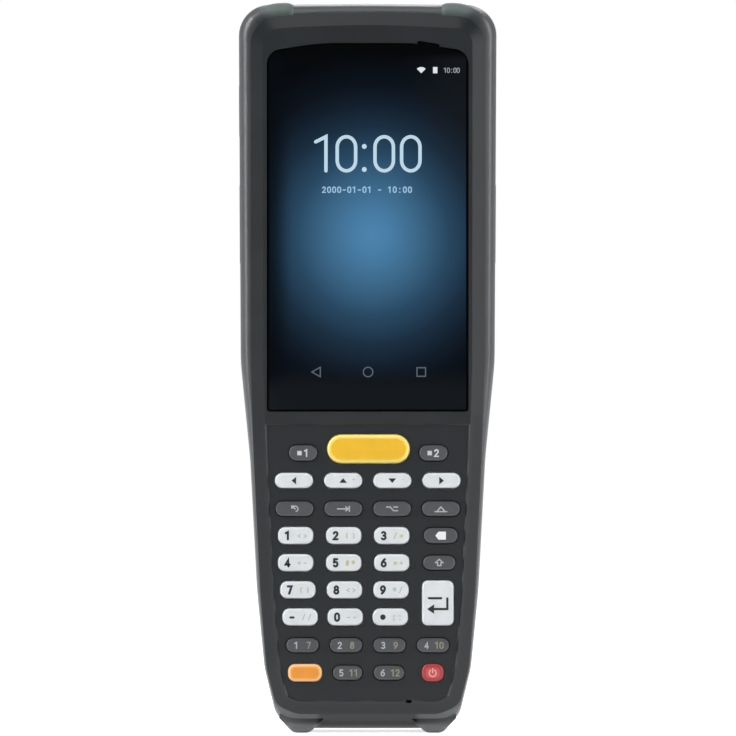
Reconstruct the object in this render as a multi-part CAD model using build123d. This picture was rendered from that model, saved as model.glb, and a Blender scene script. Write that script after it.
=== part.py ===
from build123d import *
import math
import os

# Hand-held barcode data terminal with a touch display over a 34-key keypad.
# Millimetres. +Z runs up the length, the display faces -Y, +X is to the right of someone who reads it.
# The origin is under the middle of the body, on the surface that its two feet stand on.

# ---------------------------------------------------------------- outlines, seen from the front
# Half outlines from the top centre down to the bottom: half width, height, corner radius.
BODY_OUTLINE = [
    (0.0, 199.25, 500.0),
    (35.3, 198.95, 8.5),
    (34.75, 101.0, 60.0),
    (32.2, 75.0, 60.0),
    (30.3, 38.5, 150.0),
    (28.3, 17.5, 25.0),
    (25.3, 5.2, 6.0),
    (21.3, 1.0, 3.0),
]
FACE_OUTLINE = [
    (0.0, 196.9, 300.0),
    (32.0, 195.2, 8.0),
    (31.9, 101.0, 200.0),
    (31.1, 75.0, 200.0),
    (29.3, 38.5, 150.0),
    (27.6, 17.5, 25.0),
    (25.0, 7.6, 5.0),
    (19.5, 5.2, 8.0),
]

# ---------------------------------------------------------------- walls and the stack, front to back
FRONT_WALL = 2.0
FACE_SHELL_DEPTH = 3.3      # from the face back to the seam between the two housings
SHOULDER_DEPTH = 5.0        # from the seam back to the widest part of the rear housing
FACE_BEVEL_WIDTH = 3.4
FACE_BEVEL_DEPTH = 1.2
FIELD_DEPTH = 0.4           # the keypad field lies this far below the face
SIDE_WALL = 2.2
BACK_WALL = 2.0
FLANGE_GAP = 0.1            # key flange to the inside of the face
FLANGE_THICKNESS = 0.55
KEY_TRAVEL = 0.7
KEY_STOP_GAP = 0.05         # left between a pressed key and the mat
MAT_THICKNESS = 0.5
NUB_HEIGHT = 0.6
DOME_HEIGHT = 0.3
KEY_BOARD_THICKNESS = 1.0
MID_PLATE_THICKNESS = 1.0
STANDOFF = 1.0              # mid plate to main board
MAIN_BOARD_THICKNESS = 1.0
CAN_HEIGHT = 1.8
CAN_GAP = 0.6
BAY_FLOOR = 0.8
BATTERY_GAP = 0.2
BATTERY_THICKNESS = 9.6
LATCH_SPACE = 0.8           # between the battery and the door
DOOR_THICKNESS = 1.8
HEAD_RISE = 2.4             # the head stands out from the back by this much
SCAN_KEY_PROUD = 1.2        # scan key over the face
KEY_PROUD = 1.1             # the other keys over the keypad field

BACK_DEPTH = (
    FRONT_WALL + FLANGE_GAP + FLANGE_THICKNESS + KEY_TRAVEL + KEY_STOP_GAP
    + MAT_THICKNESS + NUB_HEIGHT + DOME_HEIGHT + KEY_BOARD_THICKNESS
    + MID_PLATE_THICKNESS + STANDOFF + MAIN_BOARD_THICKNESS + CAN_HEIGHT + CAN_GAP
    + BAY_FLOOR + BATTERY_GAP + BATTERY_THICKNESS + LATCH_SPACE + DOOR_THICKNESS
)
FACE_Y = -(BACK_DEPTH + HEAD_RISE - SCAN_KEY_PROUD) / 2
FACE_INSIDE_Y = FACE_Y + FRONT_WALL
FIELD_Y = FACE_Y + FIELD_DEPTH
SEAM_Y = FACE_Y + FACE_SHELL_DEPTH
SHOULDER_Y = SEAM_Y + SHOULDER_DEPTH
FLANGE_FRONT_Y = FACE_INSIDE_Y + FLANGE_GAP
FLANGE_BACK_Y = FLANGE_FRONT_Y + FLANGE_THICKNESS
MAT_FRONT_Y = FLANGE_BACK_Y + KEY_TRAVEL + KEY_STOP_GAP
MAT_BACK_Y = MAT_FRONT_Y + MAT_THICKNESS
DOME_TOP_Y = MAT_BACK_Y + NUB_HEIGHT
KEY_BOARD_Y = DOME_TOP_Y + DOME_HEIGHT
MID_FRONT_Y = KEY_BOARD_Y + KEY_BOARD_THICKNESS
MID_BACK_Y = MID_FRONT_Y + MID_PLATE_THICKNESS
BOARD_FRONT_Y = MID_BACK_Y + STANDOFF
BOARD_BACK_Y = BOARD_FRONT_Y + MAIN_BOARD_THICKNESS
FLOOR_FRONT_Y = BOARD_BACK_Y + CAN_HEIGHT + CAN_GAP
FLOOR_BACK_Y = FLOOR_FRONT_Y + BAY_FLOOR
BATTERY_FRONT_Y = FLOOR_BACK_Y + BATTERY_GAP
BATTERY_BACK_Y = BATTERY_FRONT_Y + BATTERY_THICKNESS
BACK_Y = FACE_Y + BACK_DEPTH
DOOR_INSIDE_Y = BACK_Y - DOOR_THICKNESS
HEAD_Y = BACK_Y + HEAD_RISE

# ---------------------------------------------------------------- window and display
WINDOW_HALF_WIDTH = 27.4
WINDOW_BOTTOM_Z = 87.8
WINDOW_SIDE_TOP_Z = 185.9
WINDOW_TOP_Z = 188.1
WINDOW_ARCH_X = 13.0        # from here outwards the top edge of the glass falls
WINDOW_ARCH_RADIUS = 60.0
WINDOW_TOP_RADIUS = 4.0
WINDOW_BOTTOM_RADIUS = 0.8
WINDOW_THICKNESS = 1.1
WINDOW_SINK = 0.3           # the glass lies this far below the face
WINDOW_GAP = 0.15
WINDOW_EDGE_BEVEL = 0.25
SENSOR_TAB_X = 16.5
SENSOR_TAB_WIDTH = 6.0
SENSOR_TAB_HEIGHT = 0.7
SENSOR_TAB_CORNER = 0.4     # less than the tab stands over the glass
DISPLAY_HALF_WIDTH = 26.6
DISPLAY_BOTTOM_Z = 90.5
DISPLAY_TOP_Z = 183.0
DISPLAY_THICKNESS = 2.2
DISPLAY_GAP = 0.25
PLATFORM_RIB = 2.4
PLATFORM_RIBS = 3
GLASS_FRONT_Y = FACE_Y + WINDOW_SINK
GLASS_BACK_Y = GLASS_FRONT_Y + WINDOW_THICKNESS
DISPLAY_BACK_Y = GLASS_BACK_Y + DISPLAY_THICKNESS

# ---------------------------------------------------------------- keypad
KEY_HOLE_GAP = 0.25
FLANGE_LIP = 0.7
CROWN_RADIUS = 0.6
SCAN_CROWN_RADIUS = 1.0
FIELD_MARGIN = 3.8          # edge of the face to the keypad field
FIELD_TOP_Z = 84.0
FIELD_SLOPE = 0.4           # width of the sloped step round the field
MAT_MARGIN = 3.0
MAT_TOP_Z = 84.5
MAT_BOTTOM_Z = 13.1
NUB_RADIUS = 1.2
DOME_RADIUS = 2.0
NUMBER_KEY = (9.6, 4.7)
ARROW_KEY = (10.4, 4.2)
SHIFT_ROW_KEY = (10.4, 4.1)
FUNCTION_KEY = (8.9, 4.0)
PROGRAM_KEY = (7.8, 4.3)
NUMBER_CORNER = 2.0
ENTER_CORNER = 1.6

# Rows of four places: height, spacing of the places, then each place's key and its size.
KEY_ROWS = [
    (68.9, 13.4, ["left", "up", "down", "right"], ARROW_KEY, None),
    (61.2, 13.3, ["escape", "tab", "alt", "control"], SHIFT_ROW_KEY, None),
    (53.9, 13.1, ["1", "2", "3"], NUMBER_KEY, NUMBER_CORNER),
    (46.5, 13.1, ["4", "5", "6"], NUMBER_KEY, NUMBER_CORNER),
    (39.1, 12.7, ["7", "8", "9"], NUMBER_KEY, NUMBER_CORNER),
    (31.7, 12.3, ["minus", "0", "point"], NUMBER_KEY, NUMBER_CORNER),
    (24.0, 11.85, ["f1", "f2", "f3", "f4"], FUNCTION_KEY, None),
]
# Keys that stand outside the even rows: name, centre, size, corner radius or None for round ends.
SINGLE_KEYS = [
    ("p1", (-17.6, 76.4), PROGRAM_KEY, None),
    ("scan", (0.2, 77.5), (22.5, 7.9), None),
    ("p2", (17.9, 76.4), PROGRAM_KEY, None),
    ("backspace", (19.9, 53.9), (9.3, 4.3), None),
    ("shift", (19.5, 46.5), (8.9, 4.0), None),
    ("enter", (19.1, 35.5), (8.6, 12.3), ENTER_CORNER),
    ("orange", (-17.1, 16.5), (9.2, 4.8), NUMBER_CORNER),
    ("f5", (-5.5, 16.5), (8.1, 4.0), None),
    ("f6", (5.8, 16.5), (8.4, 4.0), None),
    ("power", (17.7, 16.5), (5.9, 4.8), NUMBER_CORNER),
]

# ---------------------------------------------------------------- rear housing
BACK_RADIUS = 6.0
HEAD_HALF_WIDTH = 28.0
HEAD_TOP_DROP = 7.0         # from the body's top down to the top of the raised head
HEAD_TOP_Z = BODY_OUTLINE[0][1] - HEAD_TOP_DROP
HEAD_CORNER = 7.0
HEAD_SLOPE = 35.0
HEAD_EDGE_RADIUS = 0.8
HEAD_TOP_WALL = 5.0         # from the body's top down to the cavity under it
HEAD_CAVITY_TOP_Z = BODY_OUTLINE[0][1] - HEAD_TOP_WALL
HEAD_CAVITY_HALF_WIDTH = 26.5
HEAD_WALL = 3.6
BOTTOM_WALL = 2.2
BOTTOM_CHAMBER_TOP_Z = 24.5
BOTTOM_CHAMBER_HALF_WIDTH = 21.5
BOTTOM_BACK_WALL = 5.0      # behind the bottom chamber, deep enough for the strap pocket
BOTTOM_CHAMBER_BACK_Y = BACK_Y - BOTTOM_BACK_WALL
BUMPER_PROUD = 0.2          # the corner bumpers stand up from the body's top
BUMPER_TOP_Z = BODY_OUTLINE[0][1] + BUMPER_PROUD
BUMPER_INNER_X = 19.0       # inner end of a bumper
BUMPER_BEND_X = 28.9        # where its top would meet its slope round the corner
BUMPER_END_X = 32.4         # its outer end, square to that slope
BUMPER_SIDE_X = 34.6        # what is beyond the outer end is cut away
BUMPER_CORNER = 3.2
BUMPER_BEND_RADIUS = 13.5
BUMPER_EDGE = 3.0           # rounding of its front, as soft as the shoulder under it
BUMPER_DEPTH = 11.0
BUMPER_HEIGHT = 11.9
FOOT_SOLE = (15.8, 20.4)    # the flat of a foot, from the centre line
FOOT_OUTER = (24.2, 4.0)    # where the foot's outer slope meets the body's corner
FOOT_CORNER = 3.0
FOOT_FACE_GAP = 0.2         # top of the feet to the face shell above them
FOOT_REACH = (10.8, 10.5)   # in front of and behind the middle of the body
FOOT_EDGE = 1.2
FOOT_TOE_Z = 1.8            # from here up the toe slopes back into the shoulder
FOOT_TOE_RUN = 2.5

# ---------------------------------------------------------------- battery, door, latch
BATTERY_HALF_WIDTH = 20.3
BATTERY_BOTTOM_Z = 33.6
BATTERY_LENGTH = 84.0
BATTERY_CORNER = 2.0
BATTERY_EDGE = 0.8
BAY_GAP = 0.3
LATCH_ROOM = 10.5           # free length of the bay above the battery
DOOR_LAP = 2.5              # the door's top edge past the bay's
HINGE_Z = 29.0
HINGE_INSET = 0.2           # from the inside of the door to the hinge axis
HINGE_Y = DOOR_INSIDE_Y - HINGE_INSET
HINGE_GROOVE_GAP = 0.3
HINGE_SWING = 75.0          # degrees that the door opens
PIN_RADIUS = 1.0
PIN_GAP = 0.08
PIN_LENGTH = 2.0
PIN_END_GAP = 0.2
DOOR_MARGIN = 6.6           # outline of the body to the edge of the door
DOOR_GAP = 0.25
DOOR_SHELF_GAP = 0.1
DOOR_CORNER = 4.0
LATCH_TRAVEL = 3.0
LATCH_PLATE_THICKNESS = 0.6
LATCH_PLATE_WIDTH = 16.0
LATCH_PLATE_LENGTH = 6.0
LATCH_END_GAP = 0.2
LATCH_GAP = 0.15
TONGUE_WIDTH = 8.0
TONGUE_END_GAP = 0.1        # tip of the drawn-back tongue to the door's top edge
THUMB_WIDTH = 12.0
THUMB_LENGTH = 5.0
THUMB_CORNER = 1.0
THUMB_PROUD = 0.5
THUMB_RECESS = 1.0
THUMB_GAP = 0.3
THUMB_RIDGES = 3
THUMB_RIDGE = (0.5, 0.3)
RIDGE_LENGTH = 8.4
NECK = (6.0, 2.5)
SPRING_THICKNESS = 0.15
SPRING_LENGTH = 7.6
SPRING_BOW = 1.4
SPRING_HEIGHT = 1.2

BAY_TOP_Z = BATTERY_BOTTOM_Z + BATTERY_LENGTH + LATCH_ROOM
DOOR_TOP_Z = BAY_TOP_Z + DOOR_LAP
HEAD_DOOR_GAP = 5.4         # from the door up to the raised head
HEAD_BOTTOM_Z = DOOR_TOP_Z + HEAD_DOOR_GAP
HEAD_CAVITY_RISE = 3.0      # from the bottom of the raised head to the cavity in it
HEAD_CAVITY_BOTTOM_Z = HEAD_BOTTOM_Z + HEAD_CAVITY_RISE

# ---------------------------------------------------------------- side buttons
TRIGGER_Z = 139.0
TRIGGER_LENGTH = 21.4
TRIGGER_WIDTH = 5.8
TRIGGER_TRAVEL = 0.8
ROCKER_Z = 170.0
ROCKER_LENGTH = 14.0
ROCKER_WIDTH = 4.2
ROCKER_SWING = 3.0
BUTTON_PROUD = 0.1
BUTTON_GAP = 0.3
BUTTON_LIP = 1.0
BUTTON_FLANGE = 1.0
BUTTON_WALL = 2.6           # wall of the rear housing in front of a side button's flange
BUTTON_SEAT_GAP = 0.1
BUTTON_END_GAP = 0.05
ROCKER_SEAT_GAP = 0.5
ROCKER_PIN_RADIUS = 0.6
ROCKER_PIN_LENGTH = 1.4
ROCKER_PIN_GAP = 0.05
BUTTON_CORNER = 1.6
BUTTON_ROOM = 3.3           # depth of the pocket behind a side button
ROCKER_PIN_DEPTH = 1.74     # from the side of the body to the rocker's axis
ROCKER_SWITCH_Z = 4.5       # from the rocker's axis to each switch
SIDE_SWITCH = (2.4, 2.0, 4.0)

# ---------------------------------------------------------------- parts in the head and the bottom end
SCAN_HALF_WIDTH = 12.0
SCAN_WINDOW_DEPTH = 7.2
SCAN_WINDOW_Y = 0.3
SCAN_WINDOW_THICKNESS = 1.2
SCAN_WINDOW_SINK = 0.8
SCAN_SEAT = 1.0             # ledge round the scan window's opening
SCAN_ENGINE = (21.0, 10.8, 15.5)
SCAN_ENGINE_TOP_GAP = 0.3
SCAN_LENS_RADIUS = 2.0
SCAN_LENS_LENGTH = 2.2
CAMERA_X = -12.0
CAMERA_DROP = 16.0          # from the top of the raised head to the camera
CAMERA_Z = HEAD_TOP_Z - CAMERA_DROP
CAMERA_WINDOW_RADIUS = 5.2
CAMERA_WINDOW_THICKNESS = 0.8
CAMERA_WINDOW_SINK = 0.2
CAMERA_HOLE_RADIUS = 3.6
CAMERA_BODY = (10.0, 6.0, 10.0)
CAMERA_BARREL_RADIUS = 3.2
FLASH_X = -2.0
FLASH_RADIUS = 1.9
INSERT_GAP = 0.1
ROOT = 1.0                  # a cut or a fused piece starts this far inside what it meets
SPEAKER = (24.0, 4.0, 13.0)
SPEAKER_CORNER = 2.0
SPEAKER_RISE = 15.0         # from the bottom of the raised head to the loudspeaker
SPEAKER_Z = HEAD_BOTTOM_Z + SPEAKER_RISE
GRILLE_SLOTS = 6
GRILLE_PITCH = 3.0
GRILLE_SLOT = (1.3, 8.0)
USB_WIDTH = 8.9
USB_HEIGHT = 3.2
USB_LENGTH = 9.4
USB_WALL = 0.35
USB_MOUTH_DEPTH = 6.6
USB_Y = BOARD_BACK_Y + USB_HEIGHT / 2
USB_TONGUE = (6.6, 0.7, 4.6)
USB_SINK = 0.8
CONTACT_RADIUS = 1.1
CONTACT_SPACING = 4.4
CONTACT_COUNT = 4
CONTACT_Y = 3.6
CONTACT_LENGTH = 4.5
CONTACT_SINK = 0.2
BATTERY_BLOCK = (14.0, 3.0)
BATTERY_BLOCK_GAP = 0.15
BATTERY_BLOCK_DROP = 2.5    # from the battery's top end to the middle of the block
BATTERY_BLOCK_Z = BATTERY_BOTTOM_Z + BATTERY_LENGTH - BATTERY_BLOCK_DROP
BATTERY_PINS = 4
BATTERY_PIN_WIDTH = 1.2
STRAP_POCKET = (16.0, 8.0)
STRAP_POCKET_DEPTH = 3.6
STRAP_POCKET_Z = 18.3
STRAP_BAR_RADIUS = 1.2
MIC_X = 11.2
MIC_Z = 8.7
MIC_SIZE = (1.7, 0.9)

# ---------------------------------------------------------------- boards, seal, screws
MID_MARGIN = 2.5
MAIN_BOARD_MARGIN = 3.4
MAIN_BOARD_TOP_GAP = 1.2    # board to the scan engine above it
MAIN_BOARD_TOP_Z = HEAD_CAVITY_TOP_Z - SCAN_ENGINE_TOP_GAP - SCAN_ENGINE[2] - MAIN_BOARD_TOP_GAP
STANDOFF_RADIUS = 1.8
STANDOFF_PLACES = [(-20.0, 30.0), (20.0, 30.0), (-22.0, 120.0), (22.0, 120.0), (0.0, 168.0)]
MAIN_BOARD_BOTTOM_Z = 8.4
CANS = [                    # shielding cans: centre, width, height
    (-9.0, 60.0, 22.0, 26.0),
    (13.0, 62.0, 16.0, 20.0),
    (-9.0, 92.0, 22.0, 20.0),
    (13.0, 94.0, 14.0, 24.0),
]
SEAL_MARGIN = 0.7
SEAL_WIDTH = 0.8
SEAL_HEIGHT = 0.5
SCREW_RADIUS = 0.95
SCREW_HEAD_RADIUS = 1.9
SCREW_HEAD_HEIGHT = 1.4
SCREW_HOLE_GAP = 0.1
SCREW_RECESS = 2.6          # from the flat of the back to the seat of a screw head
SCREW_SEAT_Y = BACK_Y - SCREW_RECESS
SCREW_TIP = 1.5
SCREW_TIP_GAP = 0.6
SCREW_DRIVE_RADIUS = 0.8
SCREW_DRIVE_DEPTH = 0.8
BOSS_RADIUS = 3.2
BOSS_ROOT = 1.7             # flat of the back to the root of a rear boss, inside the wall
FRONT_BOSS_RADIUS = 2.1
BOSS_FLOOR = 0.4            # left at the blind end of a front boss
TOP_SCREW_DROP = 5.3        # from the top of the raised head
HEAD_SCREW_RISE = 6.0       # from its bottom
TOP_SCREW = (22.4, HEAD_TOP_Z - TOP_SCREW_DROP)
HEAD_SCREW = (23.0, HEAD_BOTTOM_Z + HEAD_SCREW_RISE)
BOTTOM_SCREW = (18.0, 10.4)


# ---------------------------------------------------------------- helpers
def closed_outline(half):
    """Face in the XY plane from a half outline, mirrored about the centre line."""
    mirrored = [(-x, z, r) for x, z, r in reversed(half) if x > 0]
    corners = list(half) + mirrored
    points = [(x, z) for x, z, r in corners]
    radii = [r for x, z, r in corners]
    return make_face(FilletPolyline(*points, radius=radii, close=True))


def blended_outline(share):
    """Outline between the face's and the body's: share 0 is the face's, 1 the body's."""
    return closed_outline([
        tuple(a + (b - a) * share for a, b in zip(face, body))
        for face, body in zip(FACE_OUTLINE, BODY_OUTLINE)
    ])


def at_depth(sketch, y):
    """The sketch turned to face -Y, at depth y."""
    return Plane.XZ.offset(-y) * sketch


def slab(sketch, front_y, back_y):
    """Prism of the sketch between two depths."""
    return extrude(at_depth(sketch, back_y), amount=back_y - front_y)


def inset(sketch, amount):
    return offset(sketch, amount=-amount, kind=Kind.INTERSECTION)


def block(x0, x1, y0, y1, z0, z1):
    """Box from its lowest to its highest corner."""
    return Pos((x0 + x1) / 2, (y0 + y1) / 2, (z0 + z1) / 2) * Box(x1 - x0, y1 - y0, z1 - z0)


def centred(x, y0, y1, z, width, height):
    """Box between two depths, centred on x and z."""
    return block(x - width / 2, x + width / 2, y0, y1, z - height / 2, z + height / 2)


def rod_y(x, z, radius, y0, y1):
    """Cylinder along Y between two depths."""
    return Pos(x, (y0 + y1) / 2, z) * Rot(90, 0, 0) * Cylinder(radius, y1 - y0)


def rod_x(y, z, radius, x0, x1):
    """Cylinder along X."""
    return Pos((x0 + x1) / 2, y, z) * Rot(0, 90, 0) * Cylinder(radius, x1 - x0)


def rod_z(x, y, radius, z0, z1):
    return Pos(x, y, (z0 + z1) / 2) * Cylinder(radius, z1 - z0)


def edges_at_depth(part, y):
    return part.edges().filter_by_position(Axis.Y, y - 0.001, y + 0.001)


def between(z0, z1):
    """Everything from one height to another, as a box wider than the body."""
    return block(-WELL_CLEAR, WELL_CLEAR, -WELL_CLEAR, WELL_CLEAR, z0, z1)


def joined(parts):
    """One fused part from a list of parts."""
    whole = parts[0]
    for part in parts[1:]:
        whole = whole + part
    return whole


def cut(part, tools):
    for tool in tools:
        part = part - tool
    return part


def save(name, shape):
    export_step(shape, f"parts/{name}.step")


# ---------------------------------------------------------------- shared outlines
face_outline = closed_outline(FACE_OUTLINE)
body_outline = closed_outline(BODY_OUTLINE)
cavity_outline = inset(face_outline, SIDE_WALL)
WELL_CLEAR = 4 * BODY_OUTLINE[1][0]     # reaches past the body on both sides
BODY_BOTTOM_Z = BODY_OUTLINE[-1][1]
BODY_TOP_Z = BODY_OUTLINE[0][1]
FOOT_HEIGHT = FACE_OUTLINE[-1][1] - FOOT_FACE_GAP
screws = [(side * x, z) for x, z in (TOP_SCREW, HEAD_SCREW, BOTTOM_SCREW) for side in (-1, 1)]
front_bosses = [(side * x, z) for x, z in (TOP_SCREW, BOTTOM_SCREW) for side in (-1, 1)]


def all_keys():
    """Every key as (name, x, z, width, height, corner radius or None)."""
    keys = []
    for z, pitch, names, (width, height), corner in KEY_ROWS:
        for place, name in enumerate(names):
            keys.append((name, (place - 1.5) * pitch, z, width, height, corner))
    for name, (x, z), (width, height), corner in SINGLE_KEYS:
        keys.append((name, x, z, width, height, corner))
    return keys


KEYS = all_keys()


def key_outline(width, height, corner, grow=0.0):
    """A key's outline, grown all round."""
    if corner is None:
        return SlotOverall(width + 2 * grow, height + 2 * grow)
    return RectangleRounded(width + 2 * grow, height + 2 * grow, corner + grow)


def window_outline(grow=0.0):
    """Outline of the cover glass with its sensor tab, grown all round."""
    glass = closed_outline([
        (WINDOW_ARCH_X, WINDOW_TOP_Z, WINDOW_ARCH_RADIUS),
        (WINDOW_HALF_WIDTH, WINDOW_SIDE_TOP_Z, WINDOW_TOP_RADIUS),
        (WINDOW_HALF_WIDTH, WINDOW_BOTTOM_Z, WINDOW_BOTTOM_RADIUS),
    ])
    fall = (WINDOW_TOP_Z - WINDOW_SIDE_TOP_Z) / (WINDOW_HALF_WIDTH - WINDOW_ARCH_X)
    edge_z = WINDOW_TOP_Z - fall * (SENSOR_TAB_X - WINDOW_ARCH_X)
    tab_height = 2 * WINDOW_TOP_RADIUS
    tab = RectangleRounded(SENSOR_TAB_WIDTH, tab_height, SENSOR_TAB_CORNER)
    tab = Rot(0, 0, -math.degrees(math.atan(fall))) * Pos(0, SENSOR_TAB_HEIGHT - tab_height / 2) * tab
    tab = Pos(SENSOR_TAB_X, edge_z) * tab
    return offset(glass + tab, amount=grow, kind=Kind.INTERSECTION) if grow else glass + tab


def display_outline(grow=0.0):
    height = DISPLAY_TOP_Z - DISPLAY_BOTTOM_Z
    rectangle = Rectangle(2 * (DISPLAY_HALF_WIDTH + grow), height + 2 * grow)
    return Pos(0, (DISPLAY_TOP_Z + DISPLAY_BOTTOM_Z) / 2) * rectangle


def field_outline():
    """Floor of the sunk keypad field."""
    return inset(face_outline, FIELD_MARGIN) & Pos(0, FIELD_TOP_Z / 2) * Rectangle(WELL_CLEAR, FIELD_TOP_Z)


def seal_ring():
    return inset(face_outline, SEAL_MARGIN) - inset(face_outline, SEAL_MARGIN + SEAL_WIDTH)


# ---------------------------------------------------------------- front housing
def front_housing():
    bevel_y = FACE_Y + FACE_BEVEL_DEPTH
    slope = math.degrees(math.atan(FACE_BEVEL_WIDTH / FACE_BEVEL_DEPTH))
    skirt = slab(face_outline, bevel_y, SEAM_Y)
    crown = extrude(at_depth(face_outline, bevel_y), amount=FACE_BEVEL_DEPTH, taper=slope)
    shell = skirt + crown - slab(cavity_outline, FACE_INSIDE_Y, SEAM_Y)
    step = -math.degrees(math.atan(FIELD_SLOPE / FIELD_DEPTH))
    field = extrude(at_depth(field_outline(), FIELD_Y), amount=FIELD_DEPTH, taper=step)
    tools = [
        field,
        slab(window_outline(WINDOW_GAP), FACE_Y, GLASS_BACK_Y),
        slab(display_outline(DISPLAY_GAP), GLASS_BACK_Y, FACE_INSIDE_Y),
        slab(seal_ring(), SEAM_Y - SEAL_HEIGHT, SEAM_Y),
        slab(Pos(MIC_X, MIC_Z) * SlotOverall(*MIC_SIZE), FACE_Y, SEAM_Y),
    ]
    for name, x, z, width, height, corner in KEYS:
        hole = Pos(x, z) * key_outline(width, height, corner, KEY_HOLE_GAP)
        tools.append(slab(hole, FACE_Y, FACE_INSIDE_Y))
    shell = cut(shell, tools)
    for x, z in front_bosses:
        shell = shell + rod_y(x, z, FRONT_BOSS_RADIUS, FACE_INSIDE_Y, MID_BACK_Y)
        shell = shell - rod_y(x, z, SCREW_RADIUS + SCREW_HOLE_GAP / 2, FACE_INSIDE_Y + BOSS_FLOOR, MID_BACK_Y)
    return shell


# ---------------------------------------------------------------- rear housing
def shoulder():
    """Rounded flank between the seam and the widest outline."""
    angles = [0, 30, 60, 90]
    sections = []
    for angle in angles:
        share = math.sin(math.radians(angle))
        y = SEAM_Y + SHOULDER_DEPTH * (1 - math.cos(math.radians(angle)))
        sections.append(at_depth(blended_outline(share), y))
    return loft(sections)


def rear_shape():
    """Outside of the rear housing, solid."""
    trunk = slab(body_outline, SHOULDER_Y, BACK_Y)
    trunk = fillet(edges_at_depth(trunk, BACK_Y), BACK_RADIUS)
    head_height = HEAD_TOP_Z - HEAD_BOTTOM_Z
    head = Pos(0, (HEAD_TOP_Z + HEAD_BOTTOM_Z) / 2)
    head = head * RectangleRounded(2 * HEAD_HALF_WIDTH, head_height, HEAD_CORNER)
    base = slab(head, BACK_Y - BACK_RADIUS / 2, BACK_Y)
    back = Plane(origin=(0, BACK_Y, 0), x_dir=(-1, 0, 0), z_dir=(0, 1, 0))
    rise = extrude(back * head, amount=HEAD_RISE, taper=HEAD_SLOPE)
    rise = fillet(edges_at_depth(rise, HEAD_Y), HEAD_EDGE_RADIUS)
    shape = shoulder() + trunk + base + rise
    for side in (-1, 1):
        shape = shape + corner_bumper(side) + foot(side)
    return shape


def corner_bumper(side):
    """Pad over a top corner, proud of the top, that ends square to the slope round the corner."""
    low_z = BUMPER_TOP_Z - BUMPER_HEIGHT
    slope = BUMPER_SIDE_X - BUMPER_BEND_X
    corners = [
        (BUMPER_INNER_X, low_z, BUMPER_CORNER),
        (BUMPER_INNER_X, BUMPER_TOP_Z, BUMPER_CORNER),
        (BUMPER_BEND_X, BUMPER_TOP_Z, BUMPER_BEND_RADIUS),
        (BUMPER_SIDE_X, BUMPER_TOP_Z - slope, BUMPER_CORNER),
        (BUMPER_SIDE_X, low_z, BUMPER_CORNER),
    ]
    points = [(x, z) for x, z, r in corners]
    outline = make_face(FilletPolyline(*points, radius=[r for x, z, r in corners], close=True))
    pad = slab(outline, SEAM_Y, SHOULDER_Y + BUMPER_DEPTH)
    pad = fillet(edges_at_depth(pad, SEAM_Y), BUMPER_EDGE)
    end_z = BUMPER_TOP_Z - (BUMPER_END_X - BUMPER_BEND_X)
    beyond = block(0, WELL_CLEAR, -WELL_CLEAR, WELL_CLEAR, -WELL_CLEAR, WELL_CLEAR)
    pad = pad - Pos(BUMPER_END_X, 0, end_z) * Rot(0, 45, 0) * beyond
    return pad if side > 0 else mirror(pad, Plane.YZ)


def foot(side):
    """Foot under a bottom corner, with its sides and its toe sloped into the body."""
    inner, outer = FOOT_SOLE
    corner_x, corner_z = FOOT_OUTER
    front_y = -FOOT_REACH[0]
    back_y = FOOT_REACH[1]
    top_z = FOOT_HEIGHT + 4 * FOOT_EDGE     # the rounded top is cut off again
    outline = make_face(Polyline(
        (inner - top_z, top_z), (inner, 0), (outer, 0), (corner_x, corner_z), (corner_x, top_z), close=True,
    ))
    outline = fillet(outline.vertices().group_by(Axis.Y)[0], FOOT_CORNER)
    pad = slab(outline, front_y, back_y)
    pad = fillet(edges_at_depth(pad, front_y) + edges_at_depth(pad, back_y), FOOT_EDGE)
    pad = pad - between(FOOT_HEIGHT, 2 * top_z)
    toe_y = front_y + FOOT_TOE_RUN
    toe = Polyline((front_y, FOOT_TOE_Z), (toe_y, FOOT_HEIGHT), (front_y, FOOT_HEIGHT), close=True)
    pad = pad - extrude(Plane.YZ * make_face(toe), amount=WELL_CLEAR)
    return pad if side > 0 else mirror(pad, Plane.YZ)


def bay_outline():
    bottom = BATTERY_BOTTOM_Z - BAY_GAP
    top = BATTERY_BOTTOM_Z + BATTERY_LENGTH + LATCH_ROOM
    rectangle = RectangleRounded(2 * (BATTERY_HALF_WIDTH + BAY_GAP), top - bottom, BATTERY_CORNER)
    return Pos(0, (top + bottom) / 2) * rectangle


def door_outline(grow=0.0):
    """The door's outline above its hinge line, grown all round."""
    edge = inset(body_outline, DOOR_MARGIN - grow)
    height = DOOR_TOP_Z + grow - HINGE_Z
    window = Pos(0, HINGE_Z + height / 2) * Rectangle(WELL_CLEAR, height)
    plate = edge & window
    top_corners = plate.vertices().group_by(Axis.Y)[-1]
    return fillet(top_corners, DOOR_CORNER + grow)


def body_half_width(z):
    """Half width of the body at a height, between the corners of its outline."""
    for (x0, z0, _), (x1, z1, _) in zip(BODY_OUTLINE[1:], BODY_OUTLINE[2:]):
        if z1 <= z <= z0:
            return x1 + (x0 - x1) * (z - z1) / (z0 - z1)
    return BODY_OUTLINE[1][0]


HINGE_HALF_WIDTH = body_half_width(HINGE_Z) - DOOR_MARGIN
KNUCKLE_RADIUS = BACK_Y - HINGE_Y
LATCH_TOP_Z = BAY_TOP_Z - LATCH_TRAVEL - LATCH_END_GAP
LATCH_Z = LATCH_TOP_Z - LATCH_PLATE_LENGTH / 2
LATCH_BACK_Y = DOOR_INSIDE_Y - LATCH_GAP
LATCH_FRONT_Y = LATCH_BACK_Y - LATCH_PLATE_THICKNESS
TONGUE_TIP_Z = DOOR_TOP_Z - TONGUE_END_GAP


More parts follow.
